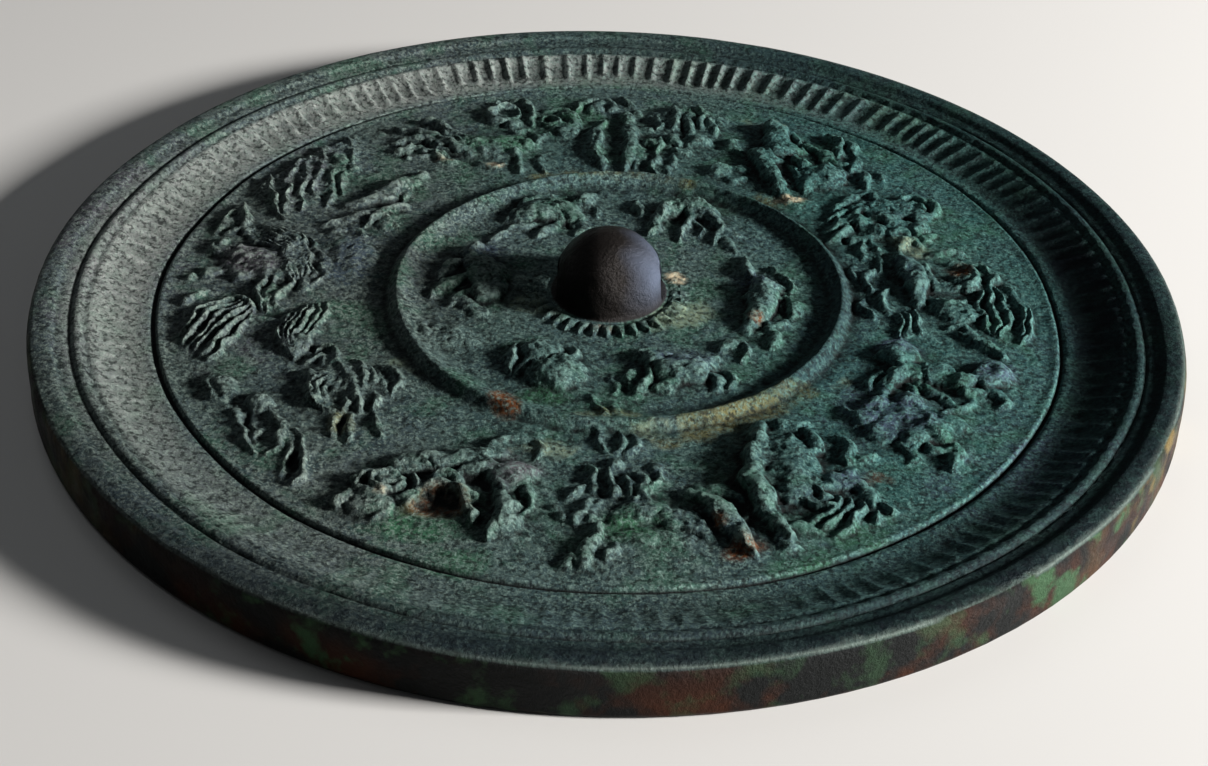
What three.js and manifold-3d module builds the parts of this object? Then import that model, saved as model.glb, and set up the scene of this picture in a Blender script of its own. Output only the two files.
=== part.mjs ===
// An ancient bronze mirror, lying with its reflecting face down and its cast back up.
// Millimetres, +Z up, origin under the middle of the face that it lies on.
//
// The mirror is one casting: a disc with a thick rim, a fluted hollow inside the rim, a band of
// birds, beasts and flowers, a ridge round an inner field of six running beasts, a ring of teeth,
// and a domed knob with a hole for the cord.

import * as THREE from 'three';
import { mergeVertices } from 'three/addons/utils/BufferGeometryUtils.js';
import Module from 'manifold-3d';

// Driving sizes
const DISC_R = 110;          // widest radius, just above the face
const ARRIS_R = 108.5;       // outer edge of the rim's top; the relief's places are hundredths of it
const RIM_Z = 9.7;           // top of the rim
const LEDGE_Z = 8.7;         // ledge inside the rim's lip
const EDGE_ROUND = 0.9;      // rounding where the edge meets the face
const FIELD_Z = 4.9;         // flat ground of the two fields
const RIDGE_R = 43.8;        // crest of the ridge between the fields
const RIDGE_Z = 7.2;
const RIDGE_SLOPE = 3.0;     // width of its outer slope, and half that of its inner one
const GROOVE_R = 86.4;       // fine groove outside the band of figures
const GROOVE_DEPTH = 0.45;
const FLUTE_OUT_R = 98.6;    // the fluted hollow's upper and lower ends
const FLUTE_IN_R = 90.6;
const FLUTE_DEPTH = 1.0;
const KNOB_R = 10.9;
const KNOB_TOP_Z = 18.2;
const HOLE_WIDTH = 7;        // cord hole through the knob, along X
const HOLE_HEIGHT = 6.6;
const HOLE_FLOOR_Z = FIELD_Z + 0.6;

const TEETH = 36;            // ring of teeth round the knob, each with a point on the tip and root circle
const FLUTES = 4 * TEETH;
const SEGMENTS = 2 * TEETH;  // sides of the plain turned rings
const TOOTH_TIP_R = 16.2;
const TOOTH_ROOT_R = 14.2;
const DOME_SINK = 0.5;       // how far the knob and the domed forms reach down into the ground
const STROKE_SINK = 0.25;    // the same for the raised strokes
const LEAN = 1.0;            // hundredths that a form moves to the near side per millimetre of height

const wasm = await Module();
wasm.setup();

// ---------------------------------------------------------------- solids

// A closed body from points and triangles, as three.js geometry with merged corners.
function bodyFrom(points, triangles) {
  const geometry = new THREE.BufferGeometry();
  geometry.setAttribute('position', new THREE.Float32BufferAttribute(points.flat(), 3));
  geometry.setIndex(triangles.flat());
  return geometry;
}

function solidFrom(geometry) {
  const bare = geometry.clone();
  bare.deleteAttribute('normal');
  bare.deleteAttribute('uv');
  const merged = mergeVertices(bare, 1e-4);
  return new wasm.Manifold(new wasm.Mesh({
    numProp: 3,
    vertProperties: new Float32Array(merged.attributes.position.array),
    triVerts: new Uint32Array(merged.index.array),
  }));
}

function geometryFrom(solid) {
  const mesh = solid.getMesh();
  const geometry = new THREE.BufferGeometry();
  geometry.setAttribute('position', new THREE.BufferAttribute(new Float32Array(mesh.vertProperties), 3));
  geometry.setIndex(new THREE.BufferAttribute(new Uint32Array(mesh.triVerts), 1));
  geometry.computeVertexNormals();
  return geometry;
}

// One ring of the turned body. Even and odd points may differ by `swing` in radius and `lift` in height.
function ring(radius, height, { count = SEGMENTS, swing = 0, lift = 0 } = {}) {
  return Array.from({ length: count }, (_, i) => {
    const side = i % 2 ? -0.5 : 0.5;
    const angle = (2 * Math.PI * i) / count;
    const r = radius + side * swing;
    return [r * Math.cos(angle), r * Math.sin(angle), height + side * lift];
  });
}

// Joins the rings from the middle of the underside, round the edge, to the middle of the top.
// Neighbouring rings have equal counts, or one has a whole number of times the other's.
function turnedBody(rings, bottomZ, topZ) {
  const points = [[0, 0, bottomZ], ...rings.flat(), [0, 0, topZ]];
  const triangles = [];
  const starts = [];
  let next = 1;
  for (const one of rings) {
    starts.push(next);
    next += one.length;
  }
  const first = rings[0].length;
  for (let i = 0; i < first; i += 1) {
    triangles.push([0, starts[0] + ((i + 1) % first), starts[0] + i]);
  }
  for (let k = 0; k + 1 < rings.length; k += 1) {
    const [a, b] = [rings[k].length, rings[k + 1].length];
    const steps = Math.max(a, b);
    const at = (n, start, i) => start + (Math.round((i * n) / steps) % n);
    for (let i = 0; i < steps; i += 1) {
      const a0 = at(a, starts[k], i);
      const a1 = at(a, starts[k], i + 1);
      const b0 = at(b, starts[k + 1], i);
      const b1 = at(b, starts[k + 1], i + 1);
      if (a0 !== a1) triangles.push([a0, a1, b1]);
      if (b0 !== b1) triangles.push([a0, b1, b0]);
    }
  }
  const last = rings.length - 1;
  const n = rings[last].length;
  for (let i = 0; i < n; i += 1) {
    triangles.push([next, starts[last] + i, starts[last] + ((i + 1) % n)]);
  }
  return bodyFrom(points, triangles);
}

// ---------------------------------------------------------------- disc, rim and rings

function disc() {
  const fluted = { count: 2 * FLUTES, lift: FLUTE_DEPTH };
  const edge = [
    ring(DISC_R - EDGE_ROUND, 0),
    ring(DISC_R, EDGE_ROUND),
    ring(DISC_R - 0.5, RIM_Z - 1.4),
    ring(ARRIS_R, RIM_Z - 0.4),
  ];
  const lip = [
    ring(ARRIS_R - 1.4, RIM_Z),
    ring(ARRIS_R - 3.8, LEDGE_Z + 0.1),
    ring(ARRIS_R - 6.4, LEDGE_Z - 0.1),
    ring(ARRIS_R - 7.8, LEDGE_Z),
  ];
  const hollow = [
    ring(FLUTE_OUT_R, LEDGE_Z - 1.1, fluted),
    ring(FLUTE_IN_R, FIELD_Z + 0.3, { count: FLUTES }),
  ];
  const groove = [
    ring(GROOVE_R + 0.7, FIELD_Z + 0.15),
    ring(GROOVE_R, FIELD_Z - GROOVE_DEPTH),
    ring(GROOVE_R - 0.9, FIELD_Z + 0.3),
    ring(GROOVE_R - 3.4, FIELD_Z),
  ];
  const ridge = [
    ring(RIDGE_R + RIDGE_SLOPE, FIELD_Z),
    ring(RIDGE_R, RIDGE_Z),
    ring(RIDGE_R - RIDGE_SLOPE, FIELD_Z + 0.9),
    ring(RIDGE_R - 2 * RIDGE_SLOPE, FIELD_Z),
  ];
  const teeth = [
    ring((TOOTH_TIP_R + TOOTH_ROOT_R + 0.4) / 2, FIELD_Z, { swing: TOOTH_TIP_R - TOOTH_ROOT_R - 0.4 }),
    ring(TOOTH_ROOT_R, FIELD_Z + 0.6, { lift: 0.7 }),
    ring(TOOTH_ROOT_R - 2.0, FIELD_Z),
  ];
  return turnedBody([...edge, ...lip, ...hollow, ...groove, ...ridge, ...teeth], 0, FIELD_Z);
}

// The knob is a dome on a short drum. It reaches below the ground, so that it joins the disc.
function knob() {
  const shoulderZ = KNOB_TOP_Z - KNOB_R;
  const profile = [
    new THREE.Vector2(0, FIELD_Z - DOME_SINK),
    new THREE.Vector2(KNOB_R + 0.3, FIELD_Z - DOME_SINK),
  ];
  const steps = 5;
  for (let i = 0; i < steps; i += 1) {
    const lean = (Math.PI / 2) * (i / steps);
    profile.push(new THREE.Vector2(KNOB_R * Math.cos(lean), shoulderZ + KNOB_R * Math.sin(lean)));
  }
  profile.push(new THREE.Vector2(0, KNOB_TOP_Z));
  return new THREE.LatheGeometry(profile, 24).rotateX(Math.PI / 2);
}

// The cord hole has a flat floor and an arched top, and runs right through along X.
function cordHole() {
  const half = HOLE_WIDTH / 2;
  const section = new THREE.Shape();
  section.moveTo(-half, 0);
  section.lineTo(half, 0);
  section.lineTo(half, HOLE_HEIGHT - half);
  section.absarc(0, HOLE_HEIGHT - half, half, 0, Math.PI, false);
  section.lineTo(-half, 0);
  const reach = KNOB_R + 4;
  const bar = new THREE.ExtrudeGeometry(section, { depth: 2 * reach, bevelEnabled: false, curveSegments: 6 });
  return bar.rotateX(Math.PI / 2).rotateZ(Math.PI / 2).translate(-reach, 0, HOLE_FLOOR_Z);
}

// ---------------------------------------------------------------- raised forms of the relief
// Places and widths are in hundredths of the rim's radius, heights in millimetres.

const relief = [];
const UNIT = ARRIS_R / 100;

// A low dome with an oval foot.
function blob(x, y, length, width, turn, height) {
  const sides = length > 7.5 ? 8 : 6;
  const nearer = y - LEAN * height;
  const points = [[x * UNIT, nearer * UNIT, FIELD_Z + height]];
  const cos = Math.cos((turn * Math.PI) / 180);
  const sin = Math.sin((turn * Math.PI) / 180);
  for (const [scale, z] of [[0.66, FIELD_Z + 0.72 * height], [1.04, FIELD_Z - DOME_SINK]]) {
    for (let i = 0; i < sides; i += 1) {
      const angle = (2 * Math.PI * i) / sides;
      const u = 0.5 * length * scale * Math.cos(angle);
      const v = 0.5 * width * scale * Math.sin(angle);
      points.push([(x + u * cos - v * sin) * UNIT, (nearer + u * sin + v * cos) * UNIT, z]);
    }
  }
  const triangles = [];
  for (let i = 0; i < sides; i += 1) {
    const j = (i + 1) % sides;
    triangles.push([0, 1 + i, 1 + j]);
    triangles.push([1 + i, 1 + sides + i, 1 + sides + j], [1 + i, 1 + sides + j, 1 + j]);
    if (i > 0 && i < sides - 1) triangles.push([1 + sides, 1 + sides + j, 1 + sides + i]);
  }
  relief.push(bodyFrom(points, triangles));
}

// A raised stroke: it follows a curve pulled towards (xm, ym), with a low roof for its section,
// and both its ends run out to a point.
function stroke(x0, y0, xm, ym, x1, y1, width, height) {
  const shift = LEAN * height;
  const route = new THREE.QuadraticBezierCurve(new THREE.Vector2(x0, y0 - shift),
    new THREE.Vector2(xm, ym - shift), new THREE.Vector2(x1, y1 - shift));
  const ends = [route.getPoint(0), route.getPoint(1)];
  const points = [[ends[0].x * UNIT, ends[0].y * UNIT, FIELD_Z - STROKE_SINK]];
  const places = [0.22, 0.78];
  for (const t of places) {
    const middle = route.getPoint(t);
    const along = route.getTangent(t);
    const [sx, sy] = [-along.y * 0.5 * width, along.x * 0.5 * width];
    points.push([(middle.x + sx) * UNIT, (middle.y + sy) * UNIT, FIELD_Z - STROKE_SINK]);
    points.push([middle.x * UNIT, middle.y * UNIT, FIELD_Z + height]);
    points.push([(middle.x - sx) * UNIT, (middle.y - sy) * UNIT, FIELD_Z - STROKE_SINK]);
  }
  const end = points.length;
  points.push([ends[1].x * UNIT, ends[1].y * UNIT, FIELD_Z - STROKE_SINK]);
  const triangles = [[0, 2, 1], [0, 3, 2], [0, 1, 3]];
  for (const [a, b] of [[1, 2], [2, 3], [3, 1]]) {
    triangles.push([a, b, b + 3], [a, b + 3, a + 3]);
  }
  triangles.push([end, 4, 5], [end, 5, 6], [end, 6, 4]);
  relief.push(bodyFrom(points, triangles));
}

// A fan of strokes between a first and a last one, each given by its start, bend and end.
function fan(count, first, last, width, height) {
  for (let i = 0; i < count; i += 1) {
    const share = i / (count - 1);
    const line = first.map((value, k) => value + (last[k] - value) * share);
    stroke(...line, width, height);
  }
}

// A curl: a ring of short strokes, open for a sixth of its round.
function curl(x, y, radius, width, height) {
  for (let i = 0; i < 3; i += 1) {
    const [a, b] = [100 * i + 30, 100 * i + 130].map((degrees) => (degrees * Math.PI) / 180);
    const middle = (a + b) / 2;
    stroke(x + radius * Math.cos(a), y + radius * Math.sin(a),
      x + 1.5 * radius * Math.cos(middle), y + 1.5 * radius * Math.sin(middle),
      x + radius * Math.cos(b), y + radius * Math.sin(b), width, height);
  }
}

// ---------------------------------------------------------------- the six running beasts and a worn one

function innerBeasts() {
  // Far left: head up beside the ridge, legs towards it, tail over the back.
  stroke(-16, 24, -12, 29.5, -4, 27, 6.5, 2.4);
  blob(-5.2, 33, 5.5, 3.6, 65, 2.2);
  stroke(-17, 29, -14, 34, -8, 32, 2.2, 1.6);
  stroke(-14, 26, -18, 26, -20.5, 23.5, 2.4, 1.6);
  stroke(-14, 23, -18, 21, -22, 18.5, 2.6, 1.7);
  // Far right: an arched back with three legs under it and a tail behind.
  stroke(7.5, 27, 13, 35, 21, 27, 6, 2.6);
  stroke(8, 29, 5, 30, 5.4, 34, 2, 1.5);
  stroke(10, 28, 9.5, 24, 9, 20.5, 2, 1.5);
  stroke(16, 29, 14.5, 24, 13, 20, 2, 1.7);
  stroke(20, 28, 20, 23, 20.5, 19, 2.2, 1.6);
  stroke(21, 28, 25, 24, 22.5, 17, 1.8, 1.5);
  // Right: seen from the side, its back to the ridge.
  stroke(26.5, 11, 32, 1, 26, -10, 7.5, 2.7);
  blob(27, 5, 6, 6, 0, 2.8);
  blob(26.5, -4, 6.5, 6, 0, 2.6);
  stroke(26, 8, 24.4, 11, 24.6, 15, 1.6, 1.6);
  stroke(27, -8, 30, -10, 29, -14, 2, 1.6);
  // Near right: head to the left, tail hooked over.
  stroke(7.5, -22, 13, -18, 20, -21, 7, 2.6);
  blob(9.5, -21, 5, 6, 0, 2.5);
  stroke(17, -19, 21, -12.5, 25, -18.5, 2.2, 1.8);
  stroke(10, -23, 7, -26, 7.5, -31, 2.2, 1.6);
  stroke(14, -23, 15, -26, 18, -29, 2, 1.5);
  stroke(18, -22, 20.5, -24, 20.5, -28, 2, 1.5);
  // Near left: crouched, with a round rump.
  blob(-11.5, -18.5, 9, 7, 62, 2.4);
  blob(-8, -23.5, 9.5, 9.5, 0, 2.5);
  stroke(-7, -20, -4, -20, -5.5, -15.5, 1.8, 1.5);
  stroke(-13, -20, -15.5, -23, -15.5, -27, 2, 1.4);
  // Left: a heavy beast, head up, its legs to the ridge.
  stroke(-25, 13, -19.5, 9, -21.5, 1, 7.5, 2.6);
  blob(-25, 13, 6.5, 5, 35, 2.7);
  stroke(-24, 9, -28, 9, -30, 5, 2.6, 1.8);
  stroke(-23, 4, -27, 4, -29.5, -2, 2.6, 1.8);
  stroke(-28, -1, -25, -6, -19, -10, 2.2, 1.5);
  // A seventh, worn almost away.
  blob(-27.5, -15, 8, 6.5, 60, 1.2);
}

// ---------------------------------------------------------------- the band of birds, beasts and flowers

function farStem() {
  stroke(-2.6, 70, -2.6, 56, -2.8, 44, 4.2, 1.8);
  stroke(2.8, 70, 2.6, 56, 3.2, 44, 4.0, 1.6);
  stroke(-8, 70, -4, 80, 1, 71, 2.6, 1.7);
  stroke(0, 77, 4, 77, 4.5, 69, 2.4, 1.5);
}

function farBlossoms() {
  blob(14, 65.5, 20, 17, 80, 1.1);
  fan(4, [9.5, 75, 8, 66, 11, 57], [20, 72, 22, 65, 18, 56], 2.8, 1.9);
  blob(6, 62, 4, 3.4, 0, 1.7);
  blob(17, 58, 5, 4, 0, 1.9);
  blob(12, 62, 4.4, 5.4, 0, 2.0);
  stroke(9, 58, 5.5, 54, 8.5, 44, 2.6, 1.6);
  stroke(13, 57, 13, 51, 10, 44, 2.6, 1.6);
}

function farBeast() {
  stroke(31, 62, 37, 56, 38, 43, 9, 2.4);
  blob(34, 63, 10, 6, 70, 2.3);
  blob(31, 53, 8, 7, 0, 2.2);
  stroke(29.5, 52, 31, 44, 35, 36, 4, 2.0);
  stroke(38, 49, 42, 42, 36, 36, 4.6, 1.8);
  blob(46, 58.5, 10, 5, 75, 2.0);
  stroke(34, 58, 40, 57, 45, 51, 2.4, 1.6);
  blob(50, 45, 6, 4.4, 70, 1.6);
  blob(22, 46.5, 8, 4.6, 20, 1.5);
  stroke(24.5, 60, 25.5, 54, 26.5, 49, 2.4, 1.8);
}

function rightPeony() {
  blob(54, 30.5, 9, 8, 0, 1.9);
  for (let i = 0; i < 7; i += 1) {
    const angle = (2 * Math.PI * (i + 0.3)) / 7;
    blob(54 + 6.6 * Math.cos(angle), 30.5 + 6.2 * Math.sin(angle), 6.4, 4.6, 51 * i + 105, 1.7);
  }
  fan(3, [51, 39, 45, 36, 42, 30], [47, 28, 43, 25, 40, 19], 2.2, 1.5);
}

function rightPhoenix() {
  blob(66, -4, 20, 13, 100, 1.0);
  stroke(52.5, 20, 56.5, 9, 55, -3, 4.6, 2.7);
  stroke(58.5, 17, 58, 8, 61, 2, 2.2, 1.9);
  curl(64.5, 11, 5, 2.2, 1.8);
  blob(65, 10.5, 4.6, 4.6, 0, 1.7);
  fan(4, [67.5, 6, 67, -2, 68.5, -11], [74.5, 8, 77.5, -2, 72, -12], 1.7, 1.7);
  fan(3, [52, 0, 51, -5, 52.5, -11], [57, -1, 56, -5, 56, -10], 1.5, 1.5);
  blob(61.5, -2.5, 8.5, 7, 0, 1.7);
  stroke(59, -7, 64, -11, 69, -14, 2.8, 1.6);
  stroke(49.5, 20, 46, 13, 46.5, 5, 2.2, 1.5);
  stroke(48.5, 8, 47, 1, 49.5, -6, 2.6, 1.6);
}

function nearRightBeast() {
  blob(50.5, -15.5, 6, 6.4, 0, 2.1);
  stroke(50, -17, 51, -23, 46.5, -29, 3.6, 1.9);
  stroke(51, -19, 58, -25, 66, -23, 5, 1.7);
  blob(65, -21.5, 9.5, 7, 25, 2.1);
  blob(51.5, -36, 7, 6.4, 0, 1.9);
  for (let i = 0; i < 6; i += 1) {
    const angle = (2 * Math.PI * i) / 6;
    blob(48.5 + 6.2 * Math.cos(angle), -36 + 5.2 * Math.sin(angle), 5.6, 4, 60 * i + 90, 1.6);
  }
  blob(57, -44, 5.6, 4, 60, 1.6);
}

function nearRightBird() {
  blob(38, -60, 20, 13, -25, 1.0);
  stroke(25.5, -35, 22.5, -50, 27, -66, 5.6, 2.9);
  blob(27.5, -51, 18, 8.5, 88, 1.9);
  fan(3, [29, -38, 32, -44, 29, -50], [39, -40, 41, -46, 36, -52], 2.8, 1.8);
  fan(5, [30, -56, 31, -61, 33, -67], [43, -54, 48, -60, 44, -66], 1.9, 1.7);
  stroke(10.5, -53, 19, -57, 23.5, -71, 4.6, 2.5);
}

function nearSpray() {
  stroke(1.2, -40, 1.5, -45, 0.8, -50, 1.8, 1.3);
  stroke(2, -40, 6.5, -42, 5, -49, 2.2, 1.6);
  for (let i = 0; i < 5; i += 1) {
    const angle = (Math.PI * (i + 3.6)) / 5;
    blob(2.5 + 3.2 * Math.cos(angle), -53 + 3.4 * Math.sin(angle), 4.4, 2.6, 36 * i + 130, 1.8);
  }
  stroke(-1, -53, -5, -54, -6, -59, 2.2, 1.6);
  stroke(9.5, -50, 6, -55, 7.5, -60, 2.2, 1.7);
  stroke(-1.5, -57, -2.5, -62, -5, -65, 2.0, 1.6);
  stroke(0.5, -62, 1, -70, -3.5, -77, 3.4, 2.1);
  stroke(2, -64, 10, -61, 18, -68, 5, 1.5);
}

function nearBeast() {
  stroke(-36, -55, -24, -46, -10, -54, 7, 2.3);
  blob(-27.5, -48.5, 8, 7, 20, 2.5);
  blob(-35, -55.5, 7, 5.6, 0, 2.0);
  stroke(-36, -56, -40, -56, -43.5, -62, 3, 1.9);
  stroke(-33, -57, -32.5, -61, -36, -64, 2.6, 1.7);
  stroke(-21, -55, -14, -57, -15.5, -69, 4.6, 2.2);
  blob(-13.5, -66, 6, 4.4, 70, 1.9);
  stroke(-12, -52, -6, -49, -11, -43, 2.2, 1.5);
}

function nearLeftLeaves() {
  blob(-64, -33, 10.5, 6, -62, 1.6);
  blob(-56, -37, 5.4, 5, 0, 1.6);
  stroke(-58, -39, -50, -43, -54, -51, 2, 1.7);
  stroke(-59, -40, -60, -46, -54, -51, 1.8, 1.4);
  stroke(-49.5, -42, -43.5, -53, -48.5, -58, 1.8, 1.6);
  stroke(-48.5, -58, -51, -55, -49.8, -49, 1.6, 1.3);
}

function leftPeony() {
  blob(-43, -29, 15, 9, -75, 1.2);
  fan(3, [-47, -26, -52, -33, -45, -39], [-44.5, -30, -46, -33, -43.5, -35.5], 1.7, 1.9);
  stroke(-45, -20, -40.5, -28, -41.5, -36, 2.2, 2.0);
  fan(2, [-41, -22, -38, -30, -37, -39], [-38.5, -23, -36.5, -28, -35.5, -33], 2, 1.9);
  curl(-48, -23, 2.2, 1.5, 1.5);
  blob(-35.2, -30, 5, 3.6, 80, 1.4);
  stroke(-42.5, -37, -40.5, -42, -41.5, -48, 1.8, 1.3);
  stroke(-38.5, -38, -36, -42, -35.5, -46, 1.8, 1.3);
}

function leftPhoenix() {
  blob(-66, -13, 25, 13, 75, 1.0);
  blob(-60, 10, 22, 10, -45, 1.0);
  fan(4, [-68.5, 19, -55, 16, -51.5, -2], [-65.5, 13, -59, 9, -57, -1], 1.8, 1.9);
  blob(-63.5, 6, 12, 9, -20, 2.2);
  blob(-71.5, 13, 6, 4.6, 20, 1.6);
  blob(-74.5, 1, 5.6, 3.6, 0, 1.5);
  stroke(-71.5, -2, -73, -5, -77, -9, 2.4, 1.5);
  fan(5, [-68, -3, -75, -8, -75.5, -18], [-62, -9, -62.5, -15, -67, -25], 1.8, 1.9);
  fan(4, [-49, -5, -47.5, -13, -53.5, -25], [-56.5, -8, -58, -13, -56, -20], 1.7, 1.9);
  stroke(-61, 1, -61.5, -5, -60, -10, 2.4, 1.7);
  stroke(-57.5, 0, -58, -4, -56.5, -8, 2.2, 1.7);
}

function leftPlume() {
  blob(-60, 41, 34, 17, 65, 1.0);
  fan(4, [-53, 59, -52, 45, -54, 30], [-66, 47, -71, 36, -63, 21], 2.8, 2.0);
  blob(-54.5, 54, 6, 4, 60, 1.8);
  blob(-53, 42, 7, 4, 80, 1.9);
  blob(-67.5, 34, 8, 3.6, 80, 1.7);
  blob(-71.5, 21, 12.5, 7, 68, 1.8);
}

function leftRibbon() {
  stroke(-36.5, 43.5, -41.5, 33, -53, 26.5, 4, 2.1);
  stroke(-39.5, 30, -46, 27, -51, 22.5, 2, 1.5);
  stroke(-54, 18, -50, 22, -45, 20, 3, 1.7);
  blob(-41.5, 21.5, 6, 4.4, 55, 1.7);
}

function farLeftPhoenix() {
  fan(5, [-40.5, 64, -35, 62, -25, 53], [-45.5, 49, -36, 50, -27, 49.5], 2.2, 1.6);
  blob(-22, 55, 14, 8.5, 8, 1.9);
  curl(-22, 69.5, 3.4, 1.8, 1.7);
  curl(-13.5, 66, 2.2, 1.5, 1.5);
  stroke(-19, 57, -16.5, 62, -19.5, 68, 2.6, 1.8);
  stroke(-17, 70.5, -5, 72, -7.5, 57, 2.4, 1.7);
  stroke(-16.5, 59, -17, 51, -19, 42.5, 1.8, 1.5);
}

const band = [farStem, farBlossoms, farBeast, rightPeony, rightPhoenix, nearRightBeast, nearRightBird,
  nearSpray, nearBeast, nearLeftLeaves, leftPeony, leftPhoenix, leftPlume, leftRibbon, farLeftPhoenix];

// ---------------------------------------------------------------- the mirror

innerBeasts();
band.forEach((figure) => figure());

const cast = wasm.Manifold.union([solidFrom(disc()), solidFrom(knob()), ...relief.map(solidFrom)])
  .subtract(solidFrom(cordHole()));

const bronze = new THREE.MeshStandardMaterial({ color: 0x4a5650, roughness: 0.62, metalness: 0.55 });
const mirror = new THREE.Mesh(geometryFrom(cast), bronze);
mirror.name = 'mirror';

const group = new THREE.Group();
group.add(mirror);

export default group;
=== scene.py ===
"""An ancient bronze mirror, lying on its reflecting face with its cast back up.

Sizes are in millimetres until they go into a mesh, which is in metres. Places on the back are in
hundredths of the rim's radius, from the middle of the mirror. The back is one height map: turned
rings, then raised forms, then cuts, then wear and corrosion. The map, the edge, the reflecting face
and the knob make one closed skin, and the cord hole is cut through it.
"""

import math

import bpy
import numpy as np
from mathutils import Matrix, Vector


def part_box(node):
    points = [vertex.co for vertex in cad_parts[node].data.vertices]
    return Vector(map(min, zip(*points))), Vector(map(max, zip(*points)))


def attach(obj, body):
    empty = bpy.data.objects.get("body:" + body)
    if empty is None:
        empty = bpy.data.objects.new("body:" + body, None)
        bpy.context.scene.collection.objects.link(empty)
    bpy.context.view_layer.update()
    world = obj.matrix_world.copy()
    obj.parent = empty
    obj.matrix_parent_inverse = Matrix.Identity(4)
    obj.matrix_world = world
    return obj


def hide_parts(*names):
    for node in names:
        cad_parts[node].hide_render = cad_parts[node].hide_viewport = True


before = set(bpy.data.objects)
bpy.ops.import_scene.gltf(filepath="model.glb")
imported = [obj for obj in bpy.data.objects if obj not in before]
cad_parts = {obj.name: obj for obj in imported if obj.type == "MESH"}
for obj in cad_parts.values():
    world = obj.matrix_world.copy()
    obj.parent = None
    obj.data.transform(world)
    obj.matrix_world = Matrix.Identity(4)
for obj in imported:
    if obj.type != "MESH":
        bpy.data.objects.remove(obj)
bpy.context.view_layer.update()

MM = 0.001
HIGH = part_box("mirror")[1]
DISC_R = HIGH.x / MM             # widest radius, just above the face
KNOB_TOP = HIGH.z / MM
ARRIS_R = DISC_R - 1.5           # outer edge of the rim's top
UNIT = ARRIS_R / 100             # one hundredth of it
BACK_EDGE_R = 108.5              # where the height map ends and the edge begins
BACK_TONE_R = 108.9              # where the back's colours end and the wall's begin
FIELD_Z = 4.9                    # ground of the two fields
FIGURES_R = 82.6                 # the band's figures reach out to here
RIDGE_R = 43.3                   # mean radius of the ridge between the fields
RIDGE_RISE = 2.3
TEETH = 36                       # round the knob
TEETH_FOOT_R = 12.9              # where the gaps between them end
TOOTH_RISE = 0.78
FLUTES = 144                     # ribs across the hollow of the rim
FLUTE_RISE = 0.9
KNOB_R = 10.9
KNOB_FOOT_R = 11.7               # where the height map ends and the knob begins
HOLE_WIDTH = 7.0                 # cord hole, along X
HOLE_HEIGHT = 6.6
HOLE_FLOOR_Z = FIELD_Z + 0.6

MAP_HALF = 111.0                 # the height map reaches this far from the middle
MAP_CELLS = 1500
CELL = 2 * MAP_HALF / (MAP_CELLS - 1)
MOST_CUT = 1.2                   # no line or hollow is cut deeper
LEAN = 1.0                       # see place()
FINE_TRIANGLES = 190000          # of the skin, before the cord hole is cut


# ---------------------------------------------------------------- maps

def map_axes():
    """The x and y of every cell of the map."""
    axis = np.linspace(-MAP_HALF, MAP_HALF, MAP_CELLS)
    return np.meshgrid(axis, axis)


def sampled(field, x, y):
    """A map's value at points, straight-line between its cells."""
    column = np.clip((x + MAP_HALF) / CELL, 0, MAP_CELLS - 1.001)
    row = np.clip((y + MAP_HALF) / CELL, 0, MAP_CELLS - 1.001)
    c, r = column.astype(int), row.astype(int)
    u, v = column - c, row - r
    near = field[r, c] * (1 - u) + field[r, c + 1] * u
    far = field[r + 1, c] * (1 - u) + field[r + 1, c + 1] * u
    return near * (1 - v) + far * v


def spectrum_radius():
    """How many waves per millimetre each Fourier term of a map stands for."""
    waves = np.fft.fftfreq(MAP_CELLS, CELL)
    half = np.fft.rfftfreq(MAP_CELLS, CELL)
    return np.hypot(waves[:, None], half[None, :])


def blurred(field, size):
    """A map smoothed by a bell curve whose standard deviation is size."""
    bell = np.exp(-2 * (math.pi * size * spectrum_radius()) ** 2)
    return np.fft.irfft2(np.fft.rfft2(field) * bell, s=field.shape)


def grain(seed, coarse, fine):
    """Random relief of unit strength, with waves between fine and coarse millimetres long."""
    noise = np.random.default_rng(seed).standard_normal((MAP_CELLS, MAP_CELLS))
    waves = spectrum_radius()
    band = np.exp(-(waves * fine) ** 2) * (1 - np.exp(-(waves * coarse) ** 2))
    field = np.fft.irfft2(np.fft.rfft2(noise) * band, s=noise.shape)
    return field / field.std()


# ---------------------------------------------------------------- turned rings

RING_PROFILE = [                 # radius, height
    (0, 4.9), (83.6, 4.9), (85.1, 4.95), (85.8, 5.2), (86.3, 5.3), (86.7, 5.0), (86.95, 4.3),
    (87.4, 4.3), (87.7, 4.95), (88.7, 5.05), (90.4, 5.1), (92.0, 5.4), (94.0, 6.0), (96.0, 6.85),
    (98.2, 7.9), (98.8, 8.0), (99.2, 7.85), (99.6, 8.2), (100.2, 8.75), (101.0, 8.8), (101.6, 8.5),
    (102.0, 8.1), (102.4, 8.5), (103.4, 8.65), (104.5, 8.9), (104.9, 9.3), (105.5, 9.62),
    (106.6, 9.7), (107.6, 9.66), (108.3, 9.55), (112, 9.5),
]


def ring_heights(radius, angle):
    """Height of the turned rings: a profile read at a radius that wobbles a little with the angle."""
    at, height = np.array(RING_PROFILE).T
    tooth = 2 / math.pi * np.arcsin(np.sin(FLUTES * angle + 1.3 * np.sin(5 * angle)))
    jag = np.exp(-((radius - 99.5) / 0.7) ** 2) * 0.28 * tooth
    wobble = 0.12 * np.sin(7 * angle + 1) + 0.1 * np.sin(13 * angle + 2.1)
    return np.interp(radius + jag + wobble * (radius > 60), at, height)


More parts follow.
